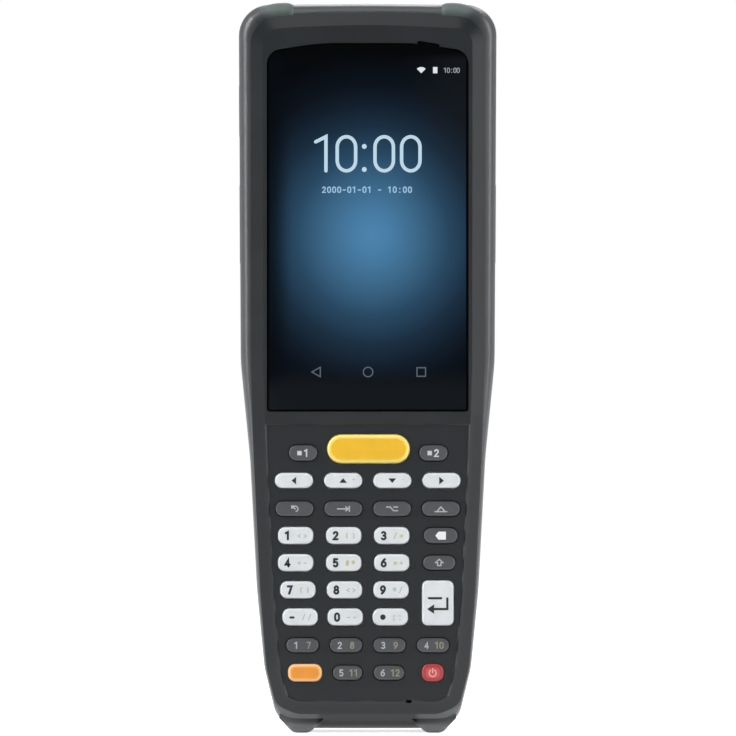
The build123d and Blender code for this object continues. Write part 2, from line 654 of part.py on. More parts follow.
def side_bar(side, z, width, length, x0, x1, corner):
    """Rounded bar along X between two distances from the centre, on one side of the body."""
    bar = extrude(Plane.YZ.offset(x0) * Pos(0, z) * RectangleRounded(width, length, corner), amount=x1 - x0)
    return bar if side > 0 else mirror(bar, Plane.YZ)


def button_seat(z):
    """Distance from the centre to the inside of the wall that holds a side button."""
    return body_half_width(z) - BUTTON_WALL


def button_opening(side, z, width, length):
    """Hole through the side wall and the pocket behind it."""
    seat = button_seat(z)
    gap = 2 * BUTTON_GAP
    lip = 2 * BUTTON_LIP + gap
    hole = side_bar(side, z, width + gap, length + gap, seat, seat + 2 * BUTTON_WALL, BUTTON_CORNER)
    return hole + side_bar(side, z, width + lip, length + lip, seat - BUTTON_ROOM, seat, BUTTON_CORNER)


def rear_housing():
    groove = HINGE_HALF_WIDTH + DOOR_GAP
    socket = HINGE_HALF_WIDTH + PIN_LENGTH + PIN_END_GAP
    chamber_floor_z = BODY_BOTTOM_Z + BOTTOM_WALL
    head_inside_y = HEAD_Y - BACK_WALL
    scan_y0 = SCAN_WINDOW_Y - SCAN_WINDOW_DEPTH / 2
    scan_y1 = SCAN_WINDOW_Y + SCAN_WINDOW_DEPTH / 2
    scan_seat_z = BODY_TOP_Z - SCAN_WINDOW_SINK - SCAN_WINDOW_THICKNESS
    tongue = TONGUE_WIDTH / 2 + THUMB_GAP
    tools = [
        slab(cavity_outline, SEAM_Y, FLOOR_FRONT_Y),
        slab(bay_outline(), FLOOR_BACK_Y, HEAD_Y),
        slab(door_outline(DOOR_GAP), DOOR_INSIDE_Y - DOOR_SHELF_GAP, HEAD_Y),
        rod_x(HINGE_Y, HINGE_Z, KNUCKLE_RADIUS + HINGE_GROOVE_GAP, -groove, groove),
        rod_x(HINGE_Y, HINGE_Z, PIN_RADIUS + PIN_GAP, -socket, socket),
        door_swing_room(),
        block(-tongue, tongue, LATCH_FRONT_Y - LATCH_GAP, LATCH_BACK_Y + LATCH_GAP,
              BAY_TOP_Z - ROOT, TONGUE_TIP_Z + LATCH_TRAVEL + LATCH_END_GAP),
        block(-HEAD_CAVITY_HALF_WIDTH, HEAD_CAVITY_HALF_WIDTH, FLOOR_FRONT_Y, BACK_Y - SIDE_WALL,
              HEAD_CAVITY_BOTTOM_Z, HEAD_CAVITY_TOP_Z),
        block(-HEAD_HALF_WIDTH + HEAD_WALL, HEAD_HALF_WIDTH - HEAD_WALL, BACK_Y - SIDE_WALL, head_inside_y,
              HEAD_BOTTOM_Z + HEAD_WALL, HEAD_TOP_Z - HEAD_WALL),
        block(-BOTTOM_CHAMBER_HALF_WIDTH, BOTTOM_CHAMBER_HALF_WIDTH, FLOOR_FRONT_Y, BOTTOM_CHAMBER_BACK_Y,
              chamber_floor_z, BOTTOM_CHAMBER_TOP_Z),
        block(-SCAN_HALF_WIDTH - INSERT_GAP, SCAN_HALF_WIDTH + INSERT_GAP, scan_y0 - INSERT_GAP,
              scan_y1 + INSERT_GAP, scan_seat_z, BUMPER_TOP_Z),
        block(-SCAN_HALF_WIDTH + SCAN_SEAT, SCAN_HALF_WIDTH - SCAN_SEAT, scan_y0 + SCAN_SEAT,
              scan_y1 - SCAN_SEAT, HEAD_CAVITY_TOP_Z - ROOT, BODY_TOP_Z),
        usb_hole(),
        battery_window(),
        strap_pocket(),
        button_opening(-1, ROCKER_Z, ROCKER_WIDTH, ROCKER_LENGTH),
        rocker_pin(ROCKER_PIN_RADIUS + ROCKER_PIN_GAP, PIN_END_GAP),
    ]
    for side in (-1, 1):
        tools.append(button_opening(side, TRIGGER_Z, TRIGGER_WIDTH, TRIGGER_LENGTH))
    for x in contact_places():
        radius = CONTACT_RADIUS + INSERT_GAP / 2
        tools.append(rod_z(x, CONTACT_Y, radius, 0, chamber_floor_z + CONTACT_LENGTH))
    lenses = (
        (CAMERA_X, CAMERA_WINDOW_RADIUS, CAMERA_HOLE_RADIUS),
        (FLASH_X, FLASH_RADIUS, FLASH_RADIUS / 2),
    )
    for x, radius, hole in lenses:
        tools.append(rod_y(x, CAMERA_Z, radius + INSERT_GAP, camera_window_y(), HEAD_Y))
        tools.append(rod_y(x, CAMERA_Z, hole, head_inside_y, HEAD_Y))
    for place in range(GRILLE_SLOTS):
        x = (place - (GRILLE_SLOTS - 1) / 2) * GRILLE_PITCH
        slot = Pos(x, SPEAKER_Z) * Rot(0, 0, 90) * SlotOverall(GRILLE_SLOT[1], GRILLE_SLOT[0])
        tools.append(slab(slot, head_inside_y, HEAD_Y))
    shape = rear_shape()
    shell = cut(shape, tools)
    for x, z in screws:
        boss = rod_y(x, z, BOSS_RADIUS, MID_BACK_Y + INSERT_GAP, BACK_Y - BOSS_ROOT)
        shell = shell + (boss & shape)
    for x, z in screws:
        shell = shell - rod_y(x, z, SCREW_RADIUS + SCREW_HOLE_GAP, MID_BACK_Y, HEAD_Y)
        shell = shell - rod_y(x, z, SCREW_HEAD_RADIUS + 3 * SCREW_HOLE_GAP, SCREW_SEAT_Y, HEAD_Y)
    bar_y = BACK_Y - STRAP_BAR_RADIUS
    bar_end = STRAP_POCKET[0] / 2
    return shell + rod_x(bar_y, STRAP_POCKET_Z, STRAP_BAR_RADIUS, -bar_end - INSERT_GAP, bar_end + INSERT_GAP)


def door_swing_room():
    """Room for the door's end where it stands fully open."""
    half = HINGE_HALF_WIDTH + 2 * DOOR_GAP
    end = block(-half, half, 0, KNUCKLE_RADIUS + HINGE_GROOVE_GAP, 0, 2 * KNUCKLE_RADIUS)
    return Pos(0, HINGE_Y, HINGE_Z) * Rot(-HINGE_SWING, 0, 0) * end


def usb_hole():
    outline = SlotOverall(USB_WIDTH + 2 * INSERT_GAP, USB_HEIGHT + 2 * INSERT_GAP)
    return Pos(0, USB_Y, 0) * extrude(outline, amount=BODY_BOTTOM_Z + USB_SINK + USB_LENGTH + INSERT_GAP)


def battery_window():
    width, height = BATTERY_BLOCK
    gap = 2 * BAY_GAP
    return centred(0, FLOOR_FRONT_Y, FLOOR_BACK_Y, BATTERY_BLOCK_Z, width + gap, height + gap)


def strap_pocket():
    width, height = STRAP_POCKET
    return centred(0, BACK_Y - STRAP_POCKET_DEPTH, BACK_Y, STRAP_POCKET_Z, width, height)


def contact_places():
    return [(place - (CONTACT_COUNT - 1) / 2) * CONTACT_SPACING for place in range(CONTACT_COUNT)]


def camera_window_y():
    """Seat of the camera window and the flash lens."""
    return HEAD_Y - CAMERA_WINDOW_SINK - CAMERA_WINDOW_THICKNESS


# ---------------------------------------------------------------- battery door and latch
def battery_door():
    plate = slab(door_outline(), DOOR_INSIDE_Y, BACK_Y)
    plate = plate + rod_x(HINGE_Y, HINGE_Z, KNUCKLE_RADIUS, -HINGE_HALF_WIDTH, HINGE_HALF_WIDTH)
    pin_end = HINGE_HALF_WIDTH + PIN_LENGTH
    plate = plate + rod_x(HINGE_Y, HINGE_Z, PIN_RADIUS, -pin_end, pin_end)
    recess_y = BACK_Y - THUMB_RECESS
    run = LATCH_TRAVEL + 2 * THUMB_GAP
    recess = RectangleRounded(THUMB_WIDTH + 2 * THUMB_GAP, THUMB_LENGTH + run, THUMB_CORNER)
    middle_z = LATCH_Z + LATCH_TRAVEL / 2
    plate = plate - slab(Pos(0, middle_z) * recess, recess_y, BACK_Y)
    neck_width, neck_length = NECK
    slot_width = neck_width + 2 * THUMB_GAP
    return plate - centred(0, DOOR_INSIDE_Y, recess_y, middle_z, slot_width, neck_length + run)


def battery_latch():
    thumb_y = BACK_Y - THUMB_RECESS + LATCH_GAP
    top_y = BACK_Y + THUMB_PROUD
    thumb = slab(Pos(0, LATCH_Z) * RectangleRounded(THUMB_WIDTH, THUMB_LENGTH, THUMB_CORNER), thumb_y, top_y)
    ridge_width, ridge_depth = THUMB_RIDGE
    for place in range(THUMB_RIDGES):
        z = LATCH_Z + (place - (THUMB_RIDGES - 1) / 2) * THUMB_LENGTH / (THUMB_RIDGES + 1)
        thumb = thumb - centred(0, top_y - ridge_depth, top_y, z, RIDGE_LENGTH, ridge_width)
    neck = centred(0, LATCH_BACK_Y, thumb_y, LATCH_Z, *NECK)
    plate = centred(0, LATCH_FRONT_Y, LATCH_BACK_Y, LATCH_Z, LATCH_PLATE_WIDTH, LATCH_PLATE_LENGTH)
    half = TONGUE_WIDTH / 2
    tongue = block(-half, half, LATCH_FRONT_Y, LATCH_BACK_Y, LATCH_Z, TONGUE_TIP_Z)
    return thumb + neck + plate + tongue


def latch_spring():
    """Bowed detent leaf on the inside of the door, beside the latch plate."""
    radius = ((SPRING_LENGTH / 2) ** 2 + SPRING_BOW ** 2) / (2 * SPRING_BOW)
    apex_x = LATCH_PLATE_WIDTH / 2 + LATCH_GAP
    ring = Circle(radius) - Circle(radius - SPRING_THICKNESS)
    leaf = Pos(apex_x + radius, LATCH_Z) * ring
    leaf = leaf & Pos(apex_x + SPRING_BOW / 2, LATCH_Z) * Rectangle(SPRING_BOW, SPRING_LENGTH)
    return slab(leaf, DOOR_INSIDE_Y - SPRING_HEIGHT, DOOR_INSIDE_Y)


def battery_pack():
    rectangle = RectangleRounded(2 * BATTERY_HALF_WIDTH, BATTERY_LENGTH, BATTERY_CORNER)
    pack = slab(Pos(0, BATTERY_BOTTOM_Z + BATTERY_LENGTH / 2) * rectangle, BATTERY_FRONT_Y, BATTERY_BACK_Y)
    return fillet(edges_at_depth(pack, BATTERY_BACK_Y) + edges_at_depth(pack, BATTERY_FRONT_Y), BATTERY_EDGE)


def battery_contacts():
    face_y = BATTERY_FRONT_Y - BATTERY_BLOCK_GAP
    width, height = BATTERY_BLOCK
    housing = centred(0, BOARD_BACK_Y, face_y - BATTERY_BLOCK_GAP, BATTERY_BLOCK_Z, width, height)
    for place in range(BATTERY_PINS):
        x = (place - (BATTERY_PINS - 1) / 2) * width / BATTERY_PINS
        housing = housing + centred(x, BOARD_BACK_Y, face_y, BATTERY_BLOCK_Z, BATTERY_PIN_WIDTH, height / 2)
    return housing


# ---------------------------------------------------------------- side buttons
def button_cap(side, z, width, length, seat_gap):
    """Cap that follows the side of the body, with its retaining flange."""
    seat = button_seat(z) - seat_gap
    cap = side_bar(side, z, width, length, seat, seat + 2 * BUTTON_WALL, BUTTON_CORNER - BUTTON_GAP)
    cap = cap & slab(offset(body_outline, amount=BUTTON_PROUD), -width, width)
    lip = 2 * BUTTON_LIP
    return cap + side_bar(side, z, width + lip, length + lip, seat - BUTTON_FLANGE, seat, BUTTON_CORNER)


def side_block(side, x0, x1, y0, y1, z, height):
    """Box on one side of the body, between two distances from the centre."""
    low, high = sorted((side * x0, side * x1))
    return block(low, high, y0, y1, z - height / 2, z + height / 2)


def button_stem(side, z, button_z, seat_gap, width, stop):
    """Rib from a side button's flange to its switch on the main board."""
    flange = button_seat(button_z) - seat_gap - BUTTON_FLANGE / 2
    y0 = -width / 2 - BUTTON_LIP + INSERT_GAP
    y1 = BOARD_BACK_Y + SIDE_SWITCH[1] - INSERT_GAP
    return side_block(side, switch_face() + stop, flange, y0, y1, z, SIDE_SWITCH[2] / 2)


def switch_face():
    """Distance from the centre to the side switches on the main board."""
    return button_seat(TRIGGER_Z) - BUTTON_ROOM + INSERT_GAP


def scan_trigger(side):
    cap = button_cap(side, TRIGGER_Z, TRIGGER_WIDTH, TRIGGER_LENGTH, BUTTON_SEAT_GAP)
    stop = TRIGGER_TRAVEL + BUTTON_END_GAP
    return cap + button_stem(side, TRIGGER_Z, TRIGGER_Z, BUTTON_SEAT_GAP, TRIGGER_WIDTH, stop)


def rocker_places():
    """Heights of the two switches under the rocker."""
    return [ROCKER_Z - ROCKER_SWITCH_Z, ROCKER_Z + ROCKER_SWITCH_Z]


def rocker_pin(radius, extra):
    half = ROCKER_WIDTH / 2 + ROCKER_PIN_LENGTH + extra
    return rod_y(ROCKER_PIN_DEPTH - body_half_width(ROCKER_Z), ROCKER_Z, radius, -half, half)


def volume_rocker():
    rocker = button_cap(-1, ROCKER_Z, ROCKER_WIDTH, ROCKER_LENGTH, ROCKER_SEAT_GAP)
    stop = ROCKER_SWITCH_Z * math.sin(math.radians(ROCKER_SWING)) + 2 * BUTTON_END_GAP
    for z in rocker_places():
        rocker = rocker + button_stem(-1, z, ROCKER_Z, ROCKER_SEAT_GAP, ROCKER_WIDTH, stop)
    return rocker + rocker_pin(ROCKER_PIN_RADIUS, 0)


# ---------------------------------------------------------------- display, frame and boards
def touch_window():
    glass = slab(window_outline(), GLASS_FRONT_Y, GLASS_BACK_Y)
    return chamfer(edges_at_depth(glass, GLASS_FRONT_Y), WINDOW_EDGE_BEVEL)


def mid_frame():
    plate = slab(inset(face_outline, MID_MARGIN), MID_FRONT_Y, MID_BACK_Y)
    ring = display_outline() - display_outline(-PLATFORM_RIB)
    platform = slab(ring, DISPLAY_BACK_Y, MID_FRONT_Y)
    span = DISPLAY_TOP_Z - DISPLAY_BOTTOM_Z
    for place in range(1, PLATFORM_RIBS + 1):
        z = DISPLAY_BOTTOM_Z + span * place / (PLATFORM_RIBS + 1)
        rib = centred(0, DISPLAY_BACK_Y, MID_FRONT_Y, z, 2 * DISPLAY_HALF_WIDTH, PLATFORM_RIB)
        platform = platform + rib
    frame = plate + platform
    for x, z in front_bosses:
        frame = frame - rod_y(x, z, FRONT_BOSS_RADIUS + 2 * SCREW_HOLE_GAP, DISPLAY_BACK_Y, MID_BACK_Y)
    for x, z in screws:
        frame = frame - rod_y(x, z, SCREW_RADIUS + SCREW_HOLE_GAP / 2, DISPLAY_BACK_Y, MID_BACK_Y)
    return frame


def keypad_area():
    return inset(face_outline, MAT_MARGIN)


def keypad_mat():
    mat = slab(keypad_area(), MAT_FRONT_Y, MAT_BACK_Y) & between(MAT_BOTTOM_Z, MAT_TOP_Z)
    nubs = [rod_y(key[1], key[2], NUB_RADIUS, MAT_FRONT_Y, DOME_TOP_Y) for key in KEYS]
    return joined([mat] + nubs)


def keypad_board():
    return slab(keypad_area(), KEY_BOARD_Y, MID_FRONT_Y) & between(MAT_BOTTOM_Z, MAT_TOP_Z)


def dome_switches():
    """One spring dome under each key."""
    radius = (DOME_RADIUS ** 2 + DOME_HEIGHT ** 2) / (2 * DOME_HEIGHT)
    ball = Pos(0, DOME_HEIGHT - radius) * Circle(radius)
    half = Pos(DOME_RADIUS / 2, DOME_HEIGHT / 2) * Rectangle(DOME_RADIUS, DOME_HEIGHT)
    dome = Rot(90, 0, 0) * revolve(Plane.XZ * (ball & half), Axis.Z)
    return Compound([(Pos(key[1], KEY_BOARD_Y, key[2]) * dome).solid() for key in KEYS])


def main_board():
    board = slab(inset(face_outline, MAIN_BOARD_MARGIN), BOARD_FRONT_Y, BOARD_BACK_Y)
    board = board & between(MAIN_BOARD_BOTTOM_Z, MAIN_BOARD_TOP_Z)
    for x, z, width, height in CANS:
        board = board + centred(x, BOARD_BACK_Y, BOARD_BACK_Y + CAN_HEIGHT, z, width, height)
    length, depth, height = SIDE_SWITCH
    face = switch_face()
    places = [(-1, TRIGGER_Z), (1, TRIGGER_Z)] + [(-1, z) for z in rocker_places()]
    for side, z in places:
        board = board + side_block(side, face - length, face, BOARD_BACK_Y, BOARD_BACK_Y + depth, z, height)
    for x, z in STANDOFF_PLACES:
        board = board + rod_y(x, z, STANDOFF_RADIUS, MID_BACK_Y, BOARD_FRONT_Y)
    for x, z in screws:
        board = board - rod_y(x, z, BOSS_RADIUS + BAY_GAP, BOARD_FRONT_Y, BOARD_BACK_Y)
    return board


def display_module():
    return slab(display_outline(), GLASS_BACK_Y, DISPLAY_BACK_Y)


# ---------------------------------------------------------------- head and bottom end
def scan_engine():
    width, depth, height = SCAN_ENGINE
    top_z = HEAD_CAVITY_TOP_Z - SCAN_ENGINE_TOP_GAP
    body = block(-width / 2, width / 2, MID_BACK_Y, MID_BACK_Y + depth, top_z - height, top_z)
    for x in (-width / 4, width / 4):
        body = body + rod_z(x, SCAN_WINDOW_Y, SCAN_LENS_RADIUS, top_z - ROOT, top_z + SCAN_LENS_LENGTH)
    return body


def scan_window():
    z1 = BODY_TOP_Z - SCAN_WINDOW_SINK
    half = SCAN_WINDOW_DEPTH / 2
    glass = block(-SCAN_HALF_WIDTH, SCAN_HALF_WIDTH, SCAN_WINDOW_Y - half, SCAN_WINDOW_Y + half,
                  z1 - SCAN_WINDOW_THICKNESS, z1)
    return chamfer(glass.edges().group_by(Axis.Z)[-1], WINDOW_EDGE_BEVEL)


def camera_module():
    width, depth, height = CAMERA_BODY
    back_y = HEAD_Y - BACK_WALL - INSERT_GAP
    body = centred(CAMERA_X, back_y - depth, back_y, CAMERA_Z, width, height)
    barrel = rod_y(CAMERA_X, CAMERA_Z, CAMERA_BARREL_RADIUS, back_y - ROOT, camera_window_y() - INSERT_GAP)
    return body + barrel


def camera_window():
    seat_y = camera_window_y()
    places = ((CAMERA_X, CAMERA_WINDOW_RADIUS), (FLASH_X, FLASH_RADIUS))
    return Compound([
        rod_y(x, CAMERA_Z, radius, seat_y, seat_y + CAMERA_WINDOW_THICKNESS).solid() for x, radius in places
    ])


def loudspeaker():
    width, depth, height = SPEAKER
    back_y = HEAD_Y - BACK_WALL - INSERT_GAP
    box = centred(0, back_y - depth, back_y, SPEAKER_Z, width, height)
    return fillet(box.edges().filter_by(Axis.Y), SPEAKER_CORNER)


def usb_connector():
    z0 = BODY_BOTTOM_Z + USB_SINK
    shell = Pos(0, USB_Y, z0) * extrude(SlotOverall(USB_WIDTH, USB_HEIGHT), amount=USB_LENGTH)
    inside = SlotOverall(USB_WIDTH - 2 * USB_WALL, USB_HEIGHT - 2 * USB_WALL)
    shell = shell - Pos(0, USB_Y, z0) * extrude(inside, amount=USB_MOUTH_DEPTH)
    width, height, length = USB_TONGUE
    tongue_z = z0 + USB_MOUTH_DEPTH
    y0 = USB_Y - height / 2
    return shell + block(-width / 2, width / 2, y0, y0 + height, tongue_z - length, tongue_z)


def charge_contacts():
    z0 = BODY_BOTTOM_Z + CONTACT_SINK
    return Compound([
        rod_z(x, CONTACT_Y, CONTACT_RADIUS, z0, z0 + CONTACT_LENGTH).solid() for x in contact_places()
    ])


def housing_screws():
    solids = []
    for x, z in screws:
        tip_y = MID_FRONT_Y - SCREW_TIP if (x, z) not in front_bosses else FACE_INSIDE_Y + SCREW_TIP_GAP
        screw = rod_y(x, z, SCREW_RADIUS, tip_y, SCREW_SEAT_Y)
        screw = screw + rod_y(x, z, SCREW_HEAD_RADIUS, SCREW_SEAT_Y, SCREW_SEAT_Y + SCREW_HEAD_HEIGHT)
        drive = Pos(x, z) * RegularPolygon(SCREW_DRIVE_RADIUS, 6)
        top_y = SCREW_SEAT_Y + SCREW_HEAD_HEIGHT
        solids.append((screw - slab(drive, top_y - SCREW_DRIVE_DEPTH, top_y)).solid())
    return Compound(solids)


# ---------------------------------------------------------------- keys
def key_cap(name, x, z, width, height, corner):
    """One key: crowned cap with the flange that holds it behind the face."""
    scan = name == "scan"
    front_y = FACE_Y - SCAN_KEY_PROUD if scan else FIELD_Y - KEY_PROUD
    cap = slab(key_outline(width, height, corner), front_y, FLANGE_FRONT_Y)
    cap = fillet(edges_at_depth(cap, front_y), SCAN_CROWN_RADIUS if scan else CROWN_RADIUS)
    flange = slab(key_outline(width, height, corner, FLANGE_LIP), FLANGE_FRONT_Y, FLANGE_BACK_Y)
    return Pos(x, 0, z) * (cap + flange)


# ---------------------------------------------------------------- write every piece
PIECES = {
    "front_housing": front_housing,
    "rear_housing": rear_housing,
    "housing_seal": lambda: slab(seal_ring(), SEAM_Y - SEAL_HEIGHT, SEAM_Y),
    "touch_window": touch_window,
    "display_module": display_module,
    "mid_frame": mid_frame,
    "keypad_mat": keypad_mat,
    "keypad_board": keypad_board,
    "dome_switches": dome_switches,
    "main_board": main_board,
    "scan_engine": scan_engine,
    "scan_window": scan_window,
    "camera_module": camera_module,
    "camera_window": camera_window,
    "loudspeaker": loudspeaker,
    "usb_connector": usb_connector,
    "charge_contacts": charge_contacts,
    "battery_pack": battery_pack,
    "battery_contacts": battery_contacts,
    "battery_door": battery_door,
    "battery_latch": battery_latch,
    "latch_spring": latch_spring,
    "scan_trigger_left": lambda: scan_trigger(-1),
    "scan_trigger_right": lambda: scan_trigger(1),
    "volume_rocker": volume_rocker,
    "housing_screws": housing_screws,
}

os.makedirs("parts", exist_ok=True)
for piece_name, make in PIECES.items():
    save(piece_name, make())
for key in KEYS:
    save("key_" + key[0], key_cap(*key))
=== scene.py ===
"""Dress of a hand-held barcode data terminal: finishes, lit display, key legends, studio and camera."""
import math

import bmesh
import bpy
from mathutils import Matrix, Vector


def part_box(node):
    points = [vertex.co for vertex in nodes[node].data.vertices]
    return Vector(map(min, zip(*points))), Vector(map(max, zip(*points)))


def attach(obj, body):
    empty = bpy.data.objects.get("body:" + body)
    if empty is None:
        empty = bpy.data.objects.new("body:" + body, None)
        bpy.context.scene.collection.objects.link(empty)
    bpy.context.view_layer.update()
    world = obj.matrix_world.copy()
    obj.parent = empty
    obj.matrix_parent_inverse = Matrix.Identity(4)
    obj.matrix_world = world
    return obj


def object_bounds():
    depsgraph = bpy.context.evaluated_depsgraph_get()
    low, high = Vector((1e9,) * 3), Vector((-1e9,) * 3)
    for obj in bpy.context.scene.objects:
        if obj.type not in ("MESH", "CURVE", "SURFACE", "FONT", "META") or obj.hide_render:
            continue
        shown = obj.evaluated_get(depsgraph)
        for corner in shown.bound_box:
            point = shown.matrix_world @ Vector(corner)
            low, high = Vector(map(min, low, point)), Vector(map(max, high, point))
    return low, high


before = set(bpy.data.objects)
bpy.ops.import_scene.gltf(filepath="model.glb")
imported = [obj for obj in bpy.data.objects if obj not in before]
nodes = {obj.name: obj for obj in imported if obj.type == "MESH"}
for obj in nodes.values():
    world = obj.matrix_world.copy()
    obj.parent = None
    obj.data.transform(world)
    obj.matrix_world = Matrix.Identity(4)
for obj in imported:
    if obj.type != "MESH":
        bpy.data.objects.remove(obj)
cad_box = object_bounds()

MM = 0.001

# ---------------------------------------------------------------- camera, in pixels of a square picture
PICTURE = 736
PIXEL = 0.27435 * MM        # one pixel at the widest part of the body
CENTRE_COLUMN = 367.7       # the body's centre line
FLOOR_ROW = 731.0           # underside of the feet
CAMERA_DISTANCE = 2.0
SENSOR = 36.0

# ---------------------------------------------------------------- prints and the display, in millimetres
PRINT_THICKNESS = 0.03
PRINT_SUNK = 0.01           # the back of a print lies this far inside its surface
PRINT_STEP = 0.004          # strokes that cross differ in height by this much
DIGIT_HEIGHT = 1.95
DIGIT_WEIGHT = 0.6
DIGIT_X = -2.2              # from the middle of a number key
SIDE_MARK_X = 1.8
SIDE_MARK_HEIGHT = 1.5
SIDE_MARK_WEIGHT = 0.3
SIDE_MARK_PITCH = 1.1       # of the height
DOT_RADIUS = 0.75
ENTER_WEIGHT = 0.62
PALE_HEIGHT = 1.6           # figures and signs on the grey keys
PALE_WEIGHT = 0.34
SIGN_REACH = 1.7            # from the middle of a grey key to each of its two figures
CLOCK_HEIGHT = 9.3
CLOCK_WEIGHT = 0.94
CLOCK_Z = 158.0
CLOCK_ROW = [("1", -11.85), ("0", -5.8), (":", -0.93), ("0", 4.5), ("0", 11.75)]
DATE_HEIGHT = 1.45
DATE_WEIGHT = 0.32
DATE_PITCH = 0.95           # of the height
DATE_Z = 148.2
DATE_X = -0.2
STATUS_Z = 180.85
STATUS_FOOT_Z = STATUS_Z - 0.9
SIGNAL_X = 14.6
SIGNAL_REACH = 1.7
CHARGE_SIDES = (17.8, 19.0)
CHARGE_TOP_Z = STATUS_Z + 0.8
STATUS_TIME_X = 22.9
STATUS_TIME_HEIGHT = 1.2
STATUS_TIME_WEIGHT = 0.2
STATUS_TIME_PITCH = 0.74    # of the height
NAVIGATION_Z = 98.5
NAVIGATION_SIZE = 2.6
NAVIGATION_WEIGHT = 0.3
BACK_X = -13.9              # the middles of the three navigation icons
HOME_X = 0.1
RECENT_X = 14.6
GLOW_X = 1.2                # the display's picture
GLOW_Z = 135.8
GLOW_REACH = 50.0
GLOW_NARROWING = 1.06
GLOW_FOOT_Z = (93.0, 101.0)
# where a grey reflection is painted into the display's light, at its top right
PAINTED_REFLECTION_X = (6.0, 27.0)
PAINTED_REFLECTION_Z = (120.0, 182.0)
SHADE_X = (-20.0, -26.5)
LIT_HALF_WIDTH = 26.7
GRAIN_SIZE = 0.32           # of moulded plastic
GRAIN_DEPTH = 0.014
SCAN_GLASS_MIDDLE = (0.0, 198.0)
LABEL_HALF_WIDTH = 15.0     # on the battery
LABEL_HALF_HEIGHT = 30.0

# ---------------------------------------------------------------- light
FLOOR_GLOW = 0.7            # as the camera, reflections and clear pieces see the floor
SURROUND_LEVEL = 0.52       # of the white surround on the object
FRONT_LEVEL = 0.04          # the same from straight ahead


# ================================================================ shader maths
class Wire:
    """One output of a shader node. Sums and products of wires and numbers add Math nodes."""

    def __init__(self, tree, socket=None):
        self.tree = tree
        self.socket = socket

    def node(self, kind, sockets=None, output=0, stops=None, **settings):
        """Adds a node, its settings first, then the values or links of its sockets."""
        made = self.tree.nodes.new(kind)
        for name, value in settings.items():
            setattr(made, name, value)
        if stops:
            knots = made.color_ramp.elements
            while len(knots) < len(stops):
                knots.new(0.5)
            for knot, (place, colour) in zip(knots, stops):
                knot.position = place
                knot.color = colour
        for name, value in (sockets or {}).items():
            if isinstance(value, Wire):
                self.tree.links.new(value.socket, made.inputs[name])
            else:
                made.inputs[name].default_value = value
        return Wire(self.tree, made.outputs[output] if made.outputs else None)

    def also(self, name):
        """Another output of the same node."""
        return Wire(self.tree, self.socket.node.outputs[name])

    def math(self, operation, *values):
        return self.node("ShaderNodeMath", dict(enumerate(values)), operation=operation)

    def __add__(self, other):
        return self.math("ADD", self, other)

    def __sub__(self, other):
        return self.math("SUBTRACT", self, other)

    def __rsub__(self, other):
        return self.math("SUBTRACT", other, self)

    def __mul__(self, other):
        return self.math("MULTIPLY", self, other)

    def __truediv__(self, other):
        return self.math("DIVIDE", self, other)

    def __pow__(self, other):
        return self.math("POWER", self, other)

    def __abs__(self):
        return self.math("ABSOLUTE", self)

    __radd__ = __add__
    __rmul__ = __mul__


def most(a, b):
    return a.math("MAXIMUM", a, b)


def ease(value, low, high):
    """0 below low and 1 above high, with a smooth rise; falls instead where high is under low."""
    if low > high:
        return 1 - ease(value, high, low)
    sockets = {"Value": value, "From Min": low, "From Max": high}
    return value.node("ShaderNodeMapRange", sockets, interpolation_type="SMOOTHSTEP")


def mixed(share, first, second):
    """From the first colour to the second."""
    return share.node("ShaderNodeMix", {0: share, 6: first, 7: second}, output=2, data_type="RGBA")


def colour(code):
    """Linear colour from the code that screens use."""
    channels = [int(code[place:place + 2], 16) / 255 for place in (0, 2, 4)]
    linear = [c / 12.92 if c <= 0.04045 else ((c + 0.055) / 1.055) ** 2.4 for c in channels]
    return (*linear, 1.0)


def darker(tone, share):
    return (*(channel * share for channel in tone[:3]), 1.0)


def new_finish(name):
    """An empty material, its first wire and the place on the object."""
    material = bpy.data.materials.new(name)
    material.use_nodes = True
    material.node_tree.nodes.clear()
    paint = Wire(material.node_tree)
    return material, paint, paint.node("ShaderNodeTexCoord", output="Object")


def axes(where):
    """X, Y and Z of a place, in millimetres."""
    first = where.node("ShaderNodeSeparateXYZ", {"Vector": where})
    return [first.also(name) / MM for name in "XYZ"]


def noise(where, size, detail):
    """Cloudy values around a half, with features of a size in millimetres."""
    sockets = {"Vector": where, "Scale": 1 / (size * MM), "Detail": detail}
    return where.node("ShaderNodeTexNoise", sockets)


def raised(height, depth):
    """Normal of a surface whose height goes from 0 to 1 over a depth in millimetres."""
    return height.node("ShaderNodeBump", {"Height": height, "Distance": depth * MM, "Strength": 1.0})


def edge_share(paint, radius):
    """1 on sharp corners and edges within a radius, 0 on open faces."""
    rounded = paint.node("ShaderNodeBevel", {"Radius": radius * MM}, samples=4)
    flat = paint.node("ShaderNodeNewGeometry", output="Normal")
    sockets = {0: rounded, 1: flat}
    facing = paint.node("ShaderNodeVectorMath", sockets, output="Value", operation="DOT_PRODUCT")
    return ease(facing, 0.995, 0.8)


def close(paint, sockets):
    """The finish's shader: wires for what varies, numbers for what is the same all over."""
    shader = paint.node("ShaderNodeBsdfPrincipled", sockets)
    paint.node("ShaderNodeOutputMaterial", {"Surface": shader})


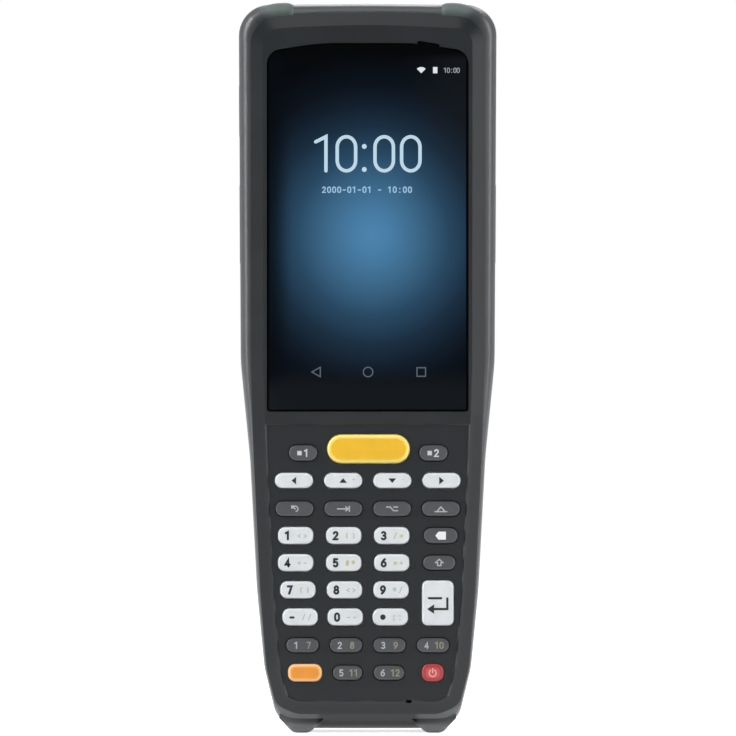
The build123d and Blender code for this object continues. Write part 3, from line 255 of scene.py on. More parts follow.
# ================================================================ finishes
def moulded(name, tone, worn_tone, gloss, shine=0.5, regions=None):
    """Spark-textured plastic: fine grain, a faint cloudiness and corners rubbed a little paler."""
    material, paint, where = new_finish(name)
    cloud = noise(where, 9.0, 3.0)
    pits = noise(where, GRAIN_SIZE, 1.0)
    tint = mixed(ease(cloud, 0.3, 0.7), darker(tone, 0.93), darker(tone, 1.07))
    rough = gloss + 0.08 * cloud
    if regions:
        tint, rough = regions(where, tint, rough)
    rubbed = edge_share(paint, 0.25) * ease(noise(where, 2.2, 3.0), 0.35, 0.65)
    tint = mixed(0.55 * rubbed, tint, worn_tone)
    close(paint, {
        "Base Color": tint,
        "Roughness": rough - 0.1 * rubbed,
        "Normal": raised(pits, GRAIN_DEPTH),
        "Specular IOR Level": shine,
    })
    return material


def face_regions(where, tint, rough):
    """The sunk keypad field is a shade darker and duller than the face round it."""
    x, y, z = axes(where)
    sunk = ease(y, FACE_Y + 0.15, FACE_Y + 0.38) * ease(y, FACE_Y + 1.2, FACE_Y + 0.9)
    sunk = sunk * ease(z, WINDOW_BOTTOM_Z - 0.5, WINDOW_BOTTOM_Z - 1.5)
    return mixed(sunk, tint, colour("1c1f23")), rough + 0.04 * sunk


def shell_regions(where, tint, rough):
    """Corner pads and soles of soft rubber on the shell. Underneath, painted shade darkens the shell between
    the feet and painted light makes the feet and the crevices beside them paler.
    """
    x, y, z = axes(where)
    across = ease(abs(x), PAD_INNER_X - 0.15, PAD_INNER_X) * ease(abs(x) - z, PAD_END, PAD_END - PAD_FADE)
    along = ease(y, PAD_BACK_Y + 0.1, PAD_BACK_Y) * ease(z, PAD_Z - 0.1, PAD_Z)
    soles = ease(z, SOLE_Z, SOLE_Z - 0.1)
    soft = most(across * along, soles)
    # painted shade between the feet and painted light on the feet and the crevices beside them, where the
    # shell turns under
    under = ease(z, UNDERSIDE_Z, UNDERSIDE_Z - 3.0)
    foot = ease(abs(x), FOOT_INNER_X - 1.0, FOOT_INNER_X + 1.0)
    tint = mixed(under, tint, mixed(foot, colour("141619"), colour("5c5f61")))
    return mixed(soft, tint, colour("525e5b")), rough + 0.2 * soft


def rubber(name, tone):
    """Matt elastomer with a dusty bloom."""
    material, paint, where = new_finish(name)
    dust = noise(where, 5.0, 4.0)
    tint = mixed(ease(dust, 0.35, 0.75), tone, darker(tone, 1.35))
    close(paint, {
        "Base Color": tint,
        "Roughness": 0.68 + 0.14 * dust,
        "Normal": raised(noise(where, 0.2, 1.0), 0.01),
    })
    return material


def rim_of(where, node, corner, width):
    """1 on a band inside the outline of a key, 0 in its middle, both seen from the front."""
    low, high = corners(node)
    x, y, z = axes(where)
    across = abs(x - (low.x + high.x) / 2) - ((high.x - low.x) / 2 - FLANGE_LIP - corner)
    along = abs(z - (low.z + high.z) / 2) - ((high.z - low.z) / 2 - FLANGE_LIP - corner)
    reach = (most(across, across * 0) ** 2 + most(along, along * 0) ** 2) ** 0.5
    return ease(reach, corner - width - 0.25, corner - width + 0.25)


def key_plastic(name, tone, painted_edge_tone, gloss=0.36, glow=None, rim=None):
    """Key top: painted plastic with an eggshell surface; its edge is painted paler as a highlight or darker
    as shade, by the edge tone given, and its underside is painted darker as shade.

    A rim is the key's node, the radius of its corners and the width of the band inside its outline.
    """
    material, paint, where = new_finish(name)
    facing = paint.node("ShaderNodeNewGeometry", output="Normal")
    facing = facing.node("ShaderNodeSeparateXYZ", {"Vector": facing})
    front = facing.also("Y") * -1
    turned = ease(front, 0.98, 0.75)
    under = ease(facing.also("Z") * -1, 0.35, 0.9) * ease(front, 0.9, 0.5)
    cloud = noise(where, 3.5, 3.0)
    tint = mixed(ease(cloud, 0.3, 0.7), darker(tone, 0.965), darker(tone, 1.03))
    # painted highlight (a paler edge tone) or painted shade (a darker one) on the turned edge and the band
    # inside the outline
    edge = most(0.85 * turned, 0.8 * rim_of(where, *rim)) if rim else 0.85 * turned
    tint = mixed(edge, tint, painted_edge_tone)
    # painted shade on the faces that turn downwards
    tint = mixed(0.6 * under, tint, darker(painted_edge_tone, 0.25))
    sockets = {
        "Base Color": tint,
        "Roughness": gloss + 0.08 * cloud,
        "Normal": raised(noise(where, 0.22, 1.0), 0.004),
        "Coat Weight": 0.15,
        "Coat Roughness": 0.3,
    }
    if glow:
        sockets["Emission Color"] = glow
        sockets["Emission Strength"] = 0.12
    close(paint, sockets)
    return material


def display_picture(where):
    """Light of the display's picture: a blue glow that sinks to black, with a painted grey reflection in its
    top right corner.
    """
    x, y, z = axes(where)
    reach = ((GLOW_NARROWING * (x - GLOW_X)) ** 2 + (z - GLOW_Z) ** 2) ** 0.5
    spread = reach / GLOW_REACH
    glow = spread.node("ShaderNodeValToRGB", {"Fac": spread}, stops=[
        (0.0, colour("4d83ad")),
        (0.1, colour("487da6")),
        (0.26, colour("3c6889")),
        (0.44, colour("274761")),
        (0.6, colour("182c3e")),
        (0.72, colour("0e1b29")),
        (0.82, colour("060e18")),
        (1.0, colour("000103")),
    ])
    foot = ease(z, *GLOW_FOOT_Z)
    base = mixed(foot, colour("111418"), glow)
    # painted reflection: grey mixed into the display's light at its top right
    painted_reflection = ease(x, *PAINTED_REFLECTION_X) * ease(z, *PAINTED_REFLECTION_Z)
    base = mixed(0.45 * painted_reflection, base, colour("1c1f23"))
    base = mixed(0.8 * ease(x, *SHADE_X) * foot, base, colour("02060c"))
    lit = ease(abs(x), LIT_HALF_WIDTH + 0.2, LIT_HALF_WIDTH)
    lit = lit * ease(z, WINDOW_BOTTOM_Z + 0.4, WINDOW_BOTTOM_Z + 0.7)
    lit = lit * ease(z, DISPLAY_TOP_Z + 3.0, DISPLAY_TOP_Z)
    return mixed(lit, (0.0, 0.0, 0.0, 1.0), base)


def cover_glass():
    """Cover glass over the lit display: glossy, with a black border printed behind it."""
    material, paint, where = new_finish("cover_glass")
    smear = noise(where, 22.0, 4.0)
    close(paint, {
        "Base Color": colour("040506"),
        "Roughness": 0.035 + 0.05 * ease(smear, 0.45, 0.8),
        "Emission Color": display_picture(where),
        "Emission Strength": 1.0,
        "Specular IOR Level": 0.3,
    })
    return material


def dark_glass(name, tone, deep_tone, middle):
    """Tinted window over an opening: deeper in its middle."""
    material, paint, where = new_finish(name)
    x, y, z = axes(where)
    off = ((x - middle[0]) ** 2 + (z - middle[1]) ** 2) ** 0.5
    tint = mixed(ease(off, 1.0, 9.0), deep_tone, tone)
    close(paint, {
        "Base Color": tint,
        "Roughness": 0.04 + 0.04 * noise(where, 6.0, 3.0),
        "Coat Weight": 0.5,
        "Coat Roughness": 0.03,
    })
    return material


def camera_glass():
    """Black camera glass; the small round beside it is the flash's ribbed diffuser."""
    material, paint, where = new_finish("camera_glass")
    x, y, z = axes(where)
    flash = ease(x, FLASH_EDGE_X - 0.1, FLASH_EDGE_X)
    ring = ((x - FLASH_X) ** 2 + (z - CAMERA_Z) ** 2) ** 0.5
    ribs = ring.math("PINGPONG", ring, 0.22) / 0.22
    tint = mixed(flash, colour("08090a"), colour("d9d2a8"))
    close(paint, {
        "Base Color": tint,
        "Roughness": 0.05 + 0.2 * flash,
        "Normal": raised(ribs * flash, 0.08),
    })
    return material


def metal(name, tone, rough, streak):
    """Bare metal with fine streaks along X."""
    material, paint, where = new_finish(name)
    sockets = {"Vector": where, "Scale": (1.0, streak, streak)}
    drawn = where.node("ShaderNodeMapping", sockets)
    lines = noise(drawn, 0.4, 3.0)
    close(paint, {
        "Base Color": mixed(lines, darker(tone, 0.85), darker(tone, 1.1)),
        "Metallic": 1.0,
        "Roughness": rough + 0.12 * lines,
        "Normal": raised(lines, 0.003),
    })
    return material


def speaker_cloth():
    """Acoustic mesh behind the loudspeaker's slots."""
    material, paint, where = new_finish("speaker_cloth")
    x, y, z = axes(where)
    across = x.math("PINGPONG", x, 0.2) / 0.2
    along = z.math("PINGPONG", z, 0.2) / 0.2
    thread = most(across, along)
    close(paint, {
        "Base Color": mixed(ease(thread, 0.45, 0.8), colour("050505"), colour("202123")),
        "Roughness": 0.7 + 0.1 * thread,
        "Normal": raised(thread, 0.06),
    })
    return material


def circuit_board():
    """Solder mask with faint tracks."""
    material, paint, where = new_finish("circuit_board")
    tracks = where.node("ShaderNodeTexVoronoi", {"Vector": where, "Scale": 260.0}, distance="MANHATTAN")
    close(paint, {
        "Base Color": mixed(ease(tracks, 0.3, 0.5), colour("12402a"), colour("1c5a3c")),
        "Roughness": 0.35 + 0.15 * tracks,
        "Normal": raised(tracks, 0.03),
    })
    return material


def battery_wrap():
    """Matt film round the battery with a bare pale label."""
    material, paint, where = new_finish("battery_wrap")
    x, y, z = axes(where)
    middle = middle_of("battery_pack")
    across = ease(abs(x - middle.x), LABEL_HALF_WIDTH + 0.2, LABEL_HALF_WIDTH)
    along = ease(abs(z - middle.z), LABEL_HALF_HEIGHT + 0.2, LABEL_HALF_HEIGHT)
    label = across * along * ease(y, middle.y + 2.0, middle.y + 3.0)
    film = noise(where, 0.8, 3.0)
    close(paint, {
        "Base Color": mixed(label, colour("1b1c1e"), colour("cfd1cf")),
        "Roughness": 0.42 + 0.2 * film - 0.08 * label,
        "Normal": raised(film, 0.012),
    })
    return material


def ink(name, tone, light=0.0):
    """Printed or lit mark."""
    material, paint, where = new_finish(name)
    speckle = noise(where, 0.3, 2.0)
    sockets = {
        "Base Color": mixed(speckle, darker(tone, 0.94), darker(tone, 1.06)),
        "Roughness": 0.4 + 0.1 * speckle,
    }
    if light:
        sockets["Base Color"] = mixed(speckle, colour("020202"), colour("030303"))
        sockets["Roughness"] = 0.04 + 0.02 * speckle
        sockets["Emission Color"] = tone
        sockets["Emission Strength"] = light
    close(paint, sockets)
    return material


# ================================================================ places read from the frame
def corners(node):
    """Lowest and highest corner of a node, in millimetres."""
    return [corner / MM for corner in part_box(node)]


def middle_of(node):
    low, high = corners(node)
    return (low + high) / 2


FACE_Y = corners("front_housing")[0].y
WINDOW_BOTTOM_Z = corners("touch_window")[0].z
WINDOW_Y = corners("touch_window")[0].y
DISPLAY_TOP_Z = corners("display_module")[1].z
CAMERA_Z = middle_of("camera_window").z
FLANGE_LIP = 0.7            # of a key, hidden behind the face
FLASH_RADIUS = 1.9
FLASH_X = corners("camera_window")[1].x - FLASH_RADIUS
FLASH_EDGE_X = FLASH_X - FLASH_RADIUS - 0.5
PAD_INNER_X = 20.3          # the corner pads of the rear housing
PAD_END = -166.5            # the rubber has run out into the plastic where abs(x) - z is this much
PAD_FADE = 4.5
PAD_BACK_Y = 6.5
PAD_Z = 194.6
SOLE_Z = 0.45
UNDERSIDE_Z = 9.0           # below it the shell turns under
FOOT_INNER_X = 13.5         # a foot stands under it from here outwards

# ================================================================ the finish of every modelled piece
FACE_PLASTIC = moulded("face_plastic", colour("212427"), colour("383c40"), 0.28, 0.36, face_regions)
SHELL_PLASTIC = moulded("shell_plastic", colour("35383b"), colour("54585b"), 0.34, 0.6, shell_regions)
DOOR_PLASTIC = moulded("door_plastic", colour("2c2f32"), colour("4a4e51"), 0.42)
BUTTON_RUBBER = rubber("button_rubber", colour("1d1f21"))
SEAL_RUBBER = rubber("seal_rubber", colour("141516"))
SILICONE = rubber("silicone", colour("26282a"))
# the second tone of each key is painted light on its edge: a paler highlight on the yellow and orange keys,
# darker shade on the others; the rims below are the bands that carry it
GREY_KEY = key_plastic("grey_key", colour("424448"), colour("2c2e31"), 0.42)
WHITE_KEY = key_plastic("white_key", colour("dadee1"), colour("c9cfd4"))
SCAN_RIM = ("key_scan", 3.95, 1.05)
ORANGE_RIM = ("key_orange", 2.0, 0.85)
POWER_RIM = ("key_power", 2.0, 1.0)
YELLOW_KEY = key_plastic("yellow_key", colour("ecb822"), colour("f2de7e"), rim=SCAN_RIM)
ORANGE_KEY = key_plastic("orange_key", colour("ec9630"), colour("f3c48c"), rim=ORANGE_RIM)
RED_KEY = key_plastic("red_key", colour("b74a4f"), colour("8e2228"), 0.3, colour("b83a3a"), POWER_RIM)
ENGINE_BLACK = moulded("engine_black", colour("121314"), colour("2a2c2e"), 0.5)
STEEL = metal("screw_steel", colour("4a4b4d"), 0.32, 12.0)
SPRING_STEEL = metal("spring_steel", colour("b9bbbd"), 0.25, 12.0)
GOLD = metal("gold_plate", colour("d9a842"), 0.2, 6.0)
MAGNESIUM = metal("cast_magnesium", colour("8d9092"), 0.5, 1.0)

FINISHES = {
    "front_housing": FACE_PLASTIC,
    "rear_housing": SHELL_PLASTIC,
    "battery_door": DOOR_PLASTIC,
    "battery_latch": BUTTON_RUBBER,
    "latch_spring": SPRING_STEEL,
    "housing_seal": SEAL_RUBBER,
    "touch_window": cover_glass(),
    "display_module": ENGINE_BLACK,
    "mid_frame": MAGNESIUM,
    "keypad_mat": SILICONE,
    "keypad_board": circuit_board(),
    "main_board": circuit_board(),
    "dome_switches": SPRING_STEEL,
    "scan_engine": ENGINE_BLACK,
    "scan_window": dark_glass("scan_glass", colour("1a0609"), colour("3a0a10"), SCAN_GLASS_MIDDLE),
    "camera_module": ENGINE_BLACK,
    "camera_window": camera_glass(),
    "loudspeaker": speaker_cloth(),
    "usb_connector": metal("plug_shell", colour("a9abad"), 0.28, 6.0),
    "charge_contacts": GOLD,
    "battery_pack": battery_wrap(),
    "battery_contacts": GOLD,
    "scan_trigger_left": BUTTON_RUBBER,
    "scan_trigger_right": BUTTON_RUBBER,
    "volume_rocker": BUTTON_RUBBER,
    "housing_screws": STEEL,
}
WHITE_KEYS = ["left", "up", "down", "right", "minus", "point", "enter"] + [str(digit) for digit in range(10)]
KEY_FINISHES = {"scan": YELLOW_KEY, "orange": ORANGE_KEY, "power": RED_KEY}
for white in WHITE_KEYS:
    KEY_FINISHES[white] = WHITE_KEY


def finish_of(node):
    if node.startswith("key_"):
        return KEY_FINISHES.get(node[4:], GREY_KEY)
    return FINISHES[node]


for node_name, node_object in nodes.items():
    node_object.data.materials.clear()
    node_object.data.materials.append(finish_of(node_name))


# ================================================================ prints
def arc(x, z, wide, high, start, end, count=14):
    """Points along an elliptical arc, in degrees from the right, anticlockwise."""
    turns = [math.radians(start + (end - start) * step / count) for step in range(count + 1)]
    return [(x + wide * math.cos(turn), z + high * math.sin(turn)) for turn in turns]


def loop(points):
    return points + points[:1]


SIX = [arc(0.0, 0.31, 0.27, 0.31, 0, 360, 24), [(0.17, 1.0), (-0.05, 0.82), (-0.2, 0.58), (-0.27, 0.31)]]
FIGURES = {
    "0": [loop(arc(0, 0.7, 0.27, 0.3, 0, 180) + arc(0, 0.3, 0.27, 0.3, 180, 360))],
    "1": [[(-0.25, 0.85), (0.05, 1.0), (0.05, 0.0)]],
    "2": [arc(0, 0.73, 0.25, 0.27, 165, -25) + [(-0.27, 0.0), (0.27, 0.0)]],
    "3": [arc(-0.02, 0.75, 0.24, 0.25, 145, -90), arc(-0.02, 0.26, 0.27, 0.26, 90, -145)],
    "4": [[(0.12, 0.0), (0.12, 1.0), (-0.28, 0.26), (0.28, 0.26)]],
    "5": [[(0.22, 1.0), (-0.19, 1.0), (-0.22, 0.56)] + arc(-0.01, 0.31, 0.27, 0.31, 125, -145)],
    "6": SIX,
    "7": [[(-0.27, 1.0), (0.26, 1.0), (-0.08, 0.0)]],
    "8": [arc(0, 0.76, 0.22, 0.24, 0, 360, 24), arc(0, 0.26, 0.27, 0.26, 0, 360, 24)],
    "9": [[(-x, 1 - z) for x, z in line] for line in SIX],
    ":": [arc(0, 0.715, 0.02, 0.02, 0, 360, 8), arc(0, 0.04, 0.02, 0.02, 0, 360, 8)],
    "-": [[(-0.22, 0.45), (0.22, 0.45)]],
    "+": [[(-0.26, 0.45), (0.26, 0.45)], [(0.0, 0.19), (0.0, 0.71)]],
    "/": [[(-0.2, 0.0), (0.2, 1.0)]],
    "<": [[(0.22, 0.75), (-0.2, 0.45), (0.22, 0.15)]],
    ">": [[(-0.22, 0.75), (0.2, 0.45), (-0.22, 0.15)]],
    "(": [arc(0.2, 0.5, 0.3, 0.55, 130, 230)],
    ")": [arc(-0.2, 0.5, 0.3, 0.55, 50, -50)],
    "=": [[(-0.25, 0.6), (0.25, 0.6)], [(-0.25, 0.3), (0.25, 0.3)]],
    "#": [[(-0.1, 0.0), (-0.04, 0.9)], [(0.1, 0.0), (0.16, 0.9)], [(-0.25, 0.28), (0.25, 0.28)],
          [(-0.2, 0.62), (0.3, 0.62)]],
    "*": [[(0.0, 0.3), (0.0, 0.9)], [(-0.24, 0.42), (0.24, 0.78)], [(-0.24, 0.78), (0.24, 0.42)]],
    " ": [],
}
FIGURE_PITCH = 0.8          # of the height
ROUND_END = (82, 55, 28)    # degrees along a stroke's round end
SECTION = ((1, True), (-1, True), (-1, False), (1, False))  # of a stroke: the side, and front or back


class Print:
    """Thin raised print on a surface that faces -Y, in one or more inks."""

    def __init__(self, name, body, x, y, z):
        self.name = name
        self.body = body
        self.place = (x, y, z)
        self.shape = bmesh.new()
        self.layer = 0
        self.inks = []
        self.ink = 0            # the place of the ink in use

    def use(self, finish):
        """Draws what follows in another ink."""
        if finish not in self.inks:
            self.inks.append(finish)
        self.ink = self.inks.index(finish)
        return self

    def point(self, x, z, front):
        """A corner of the print, on its front or on its back."""
        px, py, pz = self.place
        rise = PRINT_THICKNESS + PRINT_STEP * (self.layer % 4)
        lift = PRINT_SUNK - (rise if front else 0.0)
        return self.shape.verts.new(Vector((px + x, py + lift, pz + z)) * MM)

    def face(self, *corner_points):
        made = self.shape.faces.new(corner_points)
        made.material_index = self.ink

    def patch(self, points):
        """Solid patch inside an outline that runs anticlockwise."""
        self.layer += 1
        front = [self.point(x, z, True) for x, z in points]
        back = [self.point(x, z, False) for x, z in points]
        self.face(*front)
        self.face(*reversed(back))
        for index in range(len(points)):
            after = (index + 1) % len(points)
            self.face(front[after], front[index], back[index], back[after])
        return self

    def stroke(self, points, width):
        """Line with mitred corners and round ends, closed where it ends on its first point."""
        self.layer += 1
        closed = (Vector(points[0]) - Vector(points[-1])).length < width / 100
        path = [Vector(point) for point in (points[:-1] if closed else points)]
        steps = [(b - a).normalized() for a, b in zip(path, path[1:] + path[:1])]
        last = len(path) - 1
        half = width / 2
        rungs = []
        for index, here in enumerate(path):
            before = steps[index - 1] if closed or index else steps[0]
            after = steps[index] if closed or index < last else steps[last - 1]
            along = (before + after).normalized()
            reach = half / max(along.dot(before), 0.5)
            rungs.append((here, Vector((-along.y, along.x)) * reach))
        if not closed:
            first = [self.round_end(path[0], steps[0], -1, half, angle) for angle in ROUND_END]
            final = [self.round_end(path[-1], steps[last - 1], 1, half, angle) for angle in ROUND_END]
            rungs = first + rungs + final[::-1]
        rings = []
        for here, side in rungs:
            rings.append([self.point(*(here + side * sign), front) for sign, front in SECTION])
        for ring, following in zip(rings, rings[1:] + (rings[:1] if closed else [])):
            for corner in range(4):
                beside = (corner + 1) % 4
                self.face(ring[corner], ring[beside], following[beside], following[corner])
        if not closed:
            self.face(*reversed(rings[0]))
            self.face(*rings[-1])
        return self

    @staticmethod
    def round_end(end, along, direction, half, angle):
        """The middle and half width of a round end at an angle along it."""
        turn = math.radians(angle)
        side = Vector((-along.y, along.x)) * half * math.cos(turn)
        return end + along * direction * half * math.sin(turn), side

    def strokes(self, lines, width, x=0.0, z=0.0, scale=1.0):
        """Several lines, scaled and then moved to x and z."""
        for line in lines:
            self.stroke([(x + scale * px, z + scale * pz) for px, pz in line], width)
        return self

    def figures(self, text, x, z, height, weight, pitch=FIGURE_PITCH):
        """Row of figures centred on x and z."""
        first = x - (len(text) - 1) * pitch * height / 2
        for place, figure in enumerate(text):
            left = first + place * pitch * height
            self.strokes(FIGURES[figure], weight, left, z - height / 2, height)
        return self

    def done(self):
        """The finished piece, riding on its body."""
        bmesh.ops.recalc_face_normals(self.shape, faces=self.shape.faces)
        mesh = bpy.data.meshes.new(self.name)
        self.shape.to_mesh(mesh)
        self.shape.free()
        for finish in self.inks:
            mesh.materials.append(finish)
        piece = bpy.data.objects.new(self.name, mesh)
        bpy.context.scene.collection.objects.link(piece)
        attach(piece, self.body)


DARK_INK = ink("dark_ink", colour("15171a"))
SOFT_INK = ink("soft_ink", colour("b4bcbf"))
TAN_INK = ink("tan_ink", colour("c2b78f"))
PALE_INK = ink("pale_ink", colour("b0b3b6"))
DULL_INK = ink("dull_ink", colour("8f8b78"))
STRONG_INK = ink("strong_ink", colour("c8cacc"))
WHITE_INK = ink("white_ink", colour("e8eaeb"))
ROSE_INK = ink("rose_ink", colour("eba4a4"))
CLOCK_LIGHT = ink("clock_light", colour("bfd8e8"), 1.0)
DATE_LIGHT = ink("date_light", colour("9fc2e2"), 1.0)
STATUS_LIGHT = ink("status_light", colour("dfe6ea"), 1.0)
DIM_LIGHT = ink("dim_light", colour("a4a9ae"), 1.0)
NAVIGATION_LIGHT = ink("navigation_light", colour("5d6770"), 1.0)


# ================================================================ key legends
def turned(points, degrees):
    """Points swung anticlockwise about the middle."""
    across = math.cos(math.radians(degrees))
    along = math.sin(math.radians(degrees))
    return [(x * across - z * along, x * along + z * across) for x, z in points]


def key_print(key):
    """Print on the front of a key, measured from the key's middle."""
    low, high = corners("key_" + key)
    return Print("legend_" + key, "key_" + key, (low.x + high.x) / 2, low.y, (low.z + high.z) / 2)


ARROW_HEAD = [(-1.05, -0.6), (1.05, -0.6), (0.0, 0.65)]
ARROW_TURNS = {"up": 0, "left": 90, "down": 180, "right": 270}
SIDE_MARKS = {
    "1": ("<>", SOFT_INK), "2": ("()", TAN_INK), "3": ("/=", TAN_INK), "4": ("+-", SOFT_INK),
    "5": ("#*", TAN_INK), "6": ("=+", TAN_INK), "7": ("()", TAN_INK), "8": ("<>", SOFT_INK),
    "9": ("*/", SOFT_INK), "0": ("--", SOFT_INK), "minus": ("//", SOFT_INK), "point": ("::", SOFT_INK),
}


def arrow_legend(key):
    """Arrow head, with a small plus or minus beside it on the up and down keys."""
    mark = key_print(key).use(DARK_INK).patch(turned(ARROW_HEAD, ARROW_TURNS[key]))
    if key in ("up", "down"):
        mark.use(SOFT_INK).figures("+" if key == "up" else "-", 2.9, 0.35, 1.2, 0.16)
    return mark


def with_side_marks(mark, key):
    """Adds the two pale signs in the right half of a white key."""
    signs, finish = SIDE_MARKS[key]
    return mark.use(finish).figures(
        signs, SIDE_MARK_X, 0.0, SIDE_MARK_HEIGHT, SIDE_MARK_WEIGHT, SIDE_MARK_PITCH)


def number_legend(key, figure):
    mark = key_print(key).use(DARK_INK).figures(figure, DIGIT_X, 0.0, DIGIT_HEIGHT, DIGIT_WEIGHT)
    return with_side_marks(mark, key)


def dot_legend():
    dot = arc(DIGIT_X + 0.2, 0.0, DOT_RADIUS, DOT_RADIUS, 0, 342, 19)
    return with_side_marks(key_print("point").use(DARK_INK).patch(dot), "point")


def enter_legend():
    """Return arrow with a bar over it."""
    mark = key_print("enter").use(DARK_INK)
    mark.stroke([(2.6, 1.3), (2.6, -1.6), (-1.2, -1.6)], ENTER_WEIGHT)
    mark.patch([(-2.9, -1.6), (-1.0, -2.9), (-1.0, -0.3)])
    mark.stroke([(-2.4, 1.35), (0.9, 1.35)], ENTER_WEIGHT)
    return mark


def numbered_legend(key, first, second=None):
    """Pale figure, with a tan figure beside it for the second layer or else a small square before it."""
    mark = key_print(key)
    if second:
        mark.use(PALE_INK).figures(first, -SIGN_REACH, 0.0, PALE_HEIGHT, PALE_WEIGHT)
        return mark.use(DULL_INK).figures(second, SIGN_REACH, 0.0, PALE_HEIGHT, PALE_WEIGHT)
    mark.use(STRONG_INK).patch([(-1.6, -0.6), (-0.4, -0.6), (-0.4, 0.6), (-1.6, 0.6)])
    return mark.figures(first, 0.85, 0.0, PALE_HEIGHT * 1.1, 1.2 * PALE_WEIGHT)


ESCAPE_SIGN = [arc(0.2, 0.0, 0.75, 0.75, 160, -70), [(0.2, 0.0), (-0.75, 0.75)],
               [(-0.75, 0.25), (-0.75, 0.75), (-0.25, 0.75)]]
TAB_SIGN = [[(-1.6, 0.0), (1.3, 0.0)], [(0.7, 0.55), (1.3, 0.0), (0.7, -0.55)], [(1.65, 0.7), (1.65, -0.7)]]
SWITCH_SIGN = [[(-1.5, 0.5), (-0.5, 0.5), (0.4, -0.5), (1.5, -0.5)], [(0.5, 0.5), (1.5, 0.5)]]
CARET_SIGN = [[(-0.9, -0.45), (0.0, 0.5), (0.9, -0.45)], [(-1.6, -0.75), (1.6, -0.75)]]
SHIFT_SIGN = [[(0.0, 0.95), (-1.05, 0.05), (-0.45, 0.05), (-0.45, -0.75), (0.45, -0.75), (0.45, 0.05),
               (1.05, 0.05), (0.0, 0.95)]]
SIGNS = {
    "escape": ESCAPE_SIGN, "tab": TAB_SIGN, "alt": SWITCH_SIGN, "control": CARET_SIGN, "shift": SHIFT_SIGN,
}


def backspace_legend():
    """White backspace tab."""
    tab = [(-1.5, 0.0), (-0.6, -1.1), (1.4, -1.1), (1.4, 1.1), (-0.6, 1.1)]
    return key_print("backspace").use(WHITE_INK).patch(tab)


def power_legend():
    """Open ring with a bar through its gap."""
    mark = key_print("power").use(ROSE_INK).stroke(arc(0.0, -0.05, 0.95, 0.95, 125, 415, 20), PALE_WEIGHT)
    return mark.stroke([(0.0, 0.1), (0.0, 1.2)], PALE_WEIGHT)


def all_legends():
    for key in ARROW_TURNS:
        yield arrow_legend(key)
    for digit in range(10):
        yield number_legend(str(digit), str(digit))
    yield number_legend("minus", "-")
    yield dot_legend()
    yield enter_legend()
    yield numbered_legend("p1", "1")
    yield numbered_legend("p2", "2")
    for place in range(1, 7):
        yield numbered_legend(f"f{place}", str(place), str(place + 6))
    for key, lines in SIGNS.items():
        yield key_print(key).use(PALE_INK).strokes(lines, PALE_WEIGHT)
    yield backspace_legend()
    yield power_legend()


for legend in all_legends():
    legend.done()


# ================================================================ lit marks of the display
def display_print(name):
    return Print(name, "housing", 0.0, WINDOW_Y, 0.0)


clock = display_print("clock_figures").use(CLOCK_LIGHT)
for figure, x in CLOCK_ROW:
    clock.figures(figure, x, CLOCK_Z, CLOCK_HEIGHT, CLOCK_WEIGHT)
clock.done()

date = display_print("date_line").use(DATE_LIGHT)
date.figures("2000-01-01 - 10:00", DATE_X, DATE_Z, DATE_HEIGHT, DATE_WEIGHT, DATE_PITCH)
date.done()

status = display_print("status_icons").use(STATUS_LIGHT)
fan = arc(SIGNAL_X, STATUS_FOOT_Z, SIGNAL_REACH, SIGNAL_REACH, 45, 135)
status.patch([(SIGNAL_X, STATUS_FOOT_Z)] + fan)
left, right = CHARGE_SIDES
status.patch([(left, STATUS_FOOT_Z), (right, STATUS_FOOT_Z), (right, CHARGE_TOP_Z), (left, CHARGE_TOP_Z)])
status.use(DIM_LIGHT)
status.figures(
    "10:00", STATUS_TIME_X, STATUS_Z - 0.1, STATUS_TIME_HEIGHT, STATUS_TIME_WEIGHT, STATUS_TIME_PITCH)
status.done()

navigation = display_print("navigation_icons").use(NAVIGATION_LIGHT)
triangle = [(-1.0, 0.0), (0.75, 1.0), (0.75, -1.0), (-1.0, 0.0)]
square = [(-0.9, -0.9), (0.9, -0.9), (0.9, 0.9), (-0.9, 0.9), (-0.9, -0.9)]
circle = arc(0.0, 0.0, 1.0, 1.0, 0, 360, 28)
for line, x in ((triangle, BACK_X), (circle, HOME_X), (square, RECENT_X)):
    navigation.strokes([line], NAVIGATION_WEIGHT, x, NAVIGATION_Z, NAVIGATION_SIZE / 2)
navigation.done()


# ================================================================ studio
def aimed(target, azimuth, elevation, distance):
    """Matrix of something that stands off a target and looks at it.

    Azimuth 0 is in front and 90 to the right, as seen from the front.
    """
    turn = math.radians(azimuth)
    lift = math.radians(elevation)
    away = Vector((math.sin(turn) * math.cos(lift), -math.cos(turn) * math.cos(lift), math.sin(lift)))
    spot = target + away * distance
    return Matrix.Translation(spot) @ (-away).to_track_quat("-Z", "Y").to_matrix().to_4x4()


def lamp(name, azimuth, elevation, distance, wide, high, power):
    light = bpy.data.lights.new(name, "AREA")
    light.shape = "RECTANGLE"
    light.size = wide
    light.size_y = high
    light.energy = power
    holder = bpy.data.objects.new(name, light)
    bpy.context.scene.collection.objects.link(holder)
    holder.matrix_world = aimed(OBJECT_MIDDLE, azimuth, elevation, distance)


def studio_floor():
    """Pale floor that keeps the object's shadow and turns into the white background."""
    material, paint, where = new_finish("studio_floor")
    rays = paint.node("ShaderNodeLightPath")
    seen = most(most(rays, rays.also("Is Glossy Ray")), rays.also("Is Transmission Ray"))
    close(paint, {
        "Base Color": colour("e6e6e6"),
        "Roughness": 0.9,
        "Emission Color": (1.0, 1.0, 1.0, 1.0),
        "Emission Strength": seen * FLOOR_GLOW,
    })
    mesh = bpy.data.meshes.new("studio_floor")
    reach = 6.0
    corner_points = [(-reach, -reach, 0.0), (reach, -reach, 0.0), (reach, reach, 0.0), (-reach, reach, 0.0)]
    mesh.from_pydata(corner_points, [], [(0, 1, 2, 3)])
    mesh.materials.append(material)
    floor = bpy.data.objects.new("studio_floor", mesh)
    bpy.context.scene.collection.objects.link(floor)


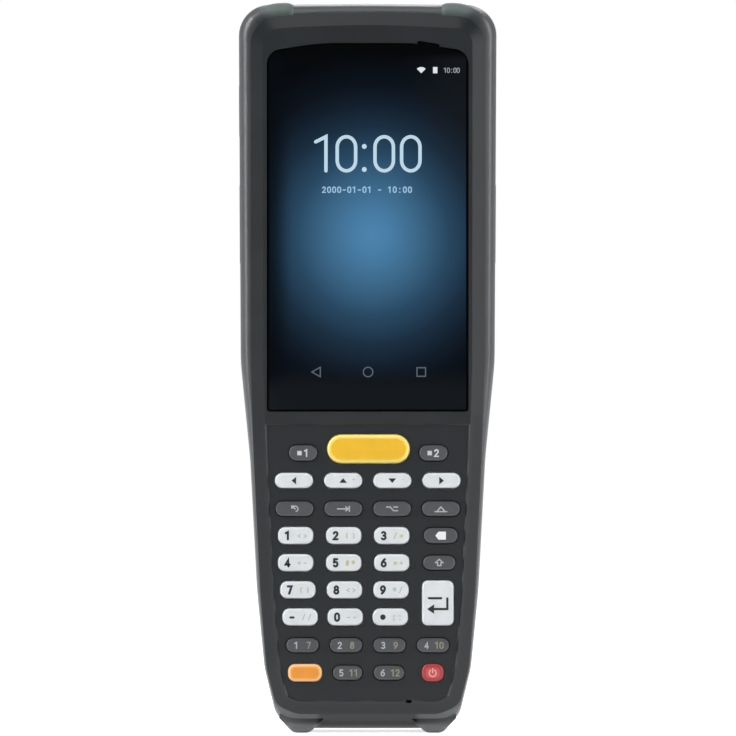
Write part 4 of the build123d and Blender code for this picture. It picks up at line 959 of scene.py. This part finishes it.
def studio_world():
    """White surround, dim behind whoever looks at the front."""
    world = bpy.data.worlds.new("studio")
    world.use_nodes = True
    world.node_tree.nodes.clear()
    sky = Wire(world.node_tree)
    way = sky.node("ShaderNodeTexCoord", output="Generated")
    ahead = way.node("ShaderNodeSeparateXYZ", {"Vector": way}).also("Y") * -1
    dim = ease(ahead, 0.1, 0.8)
    level = SURROUND_LEVEL - (SURROUND_LEVEL - FRONT_LEVEL) * dim
    rays = sky.node("ShaderNodeLightPath")
    strength = rays + (1 - rays) * level
    background = sky.node("ShaderNodeBackground", {"Color": (1.0, 1.0, 1.0, 1.0), "Strength": strength})
    sky.node("ShaderNodeOutputWorld", {"Surface": background})
    bpy.context.scene.world = world


def studio_camera():
    """Long lens, level with the middle of the picture."""
    lens = bpy.data.cameras.new("camera")
    lens.sensor_width = SENSOR
    lens.lens = SENSOR * CAMERA_DISTANCE / (PICTURE * PIXEL)
    lens.clip_start = 0.1
    lens.clip_end = 20.0
    holder = bpy.data.objects.new("camera", lens)
    bpy.context.scene.collection.objects.link(holder)
    x = (PICTURE / 2 - CENTRE_COLUMN) * PIXEL
    z = (FLOOR_ROW - PICTURE / 2) * PIXEL
    holder.location = (x, -CAMERA_DISTANCE, z)
    holder.rotation_euler = (math.radians(90), 0, 0)
    bpy.context.scene.camera = holder


OBJECT_MIDDLE = (cad_box[0] + cad_box[1]) / 2
LAMPS = [
    # name, azimuth and elevation in degrees, distance, width and height in metres, watts
    ("key_lamp", -8, 56, 1.0, 0.5, 0.4, 1.7),
    ("left_lamp", -75, 25, 0.9, 0.24, 0.95, 6.8),
    ("right_lamp", 75, 19, 0.9, 0.24, 0.72, 4.3),
    ("bevel_lamp", 40, 4, 1.2, 0.14, 0.9, 2.0),
    ("left_corner_lamp", -88, 46, 0.9, 0.25, 0.3, 1.5),
    ("right_corner_lamp", 88, 46, 0.9, 0.25, 0.3, 0.25),
    ("top_lamp", 10, 80, 1.0, 0.6, 0.3, 1.1),
    ("back_lamp", 170, 40, 1.2, 0.6, 0.6, 4.0),
]
for row in LAMPS:
    lamp(*row)
studio_floor()
studio_world()
studio_camera()
bpy.context.scene.view_settings.view_transform = "Standard"
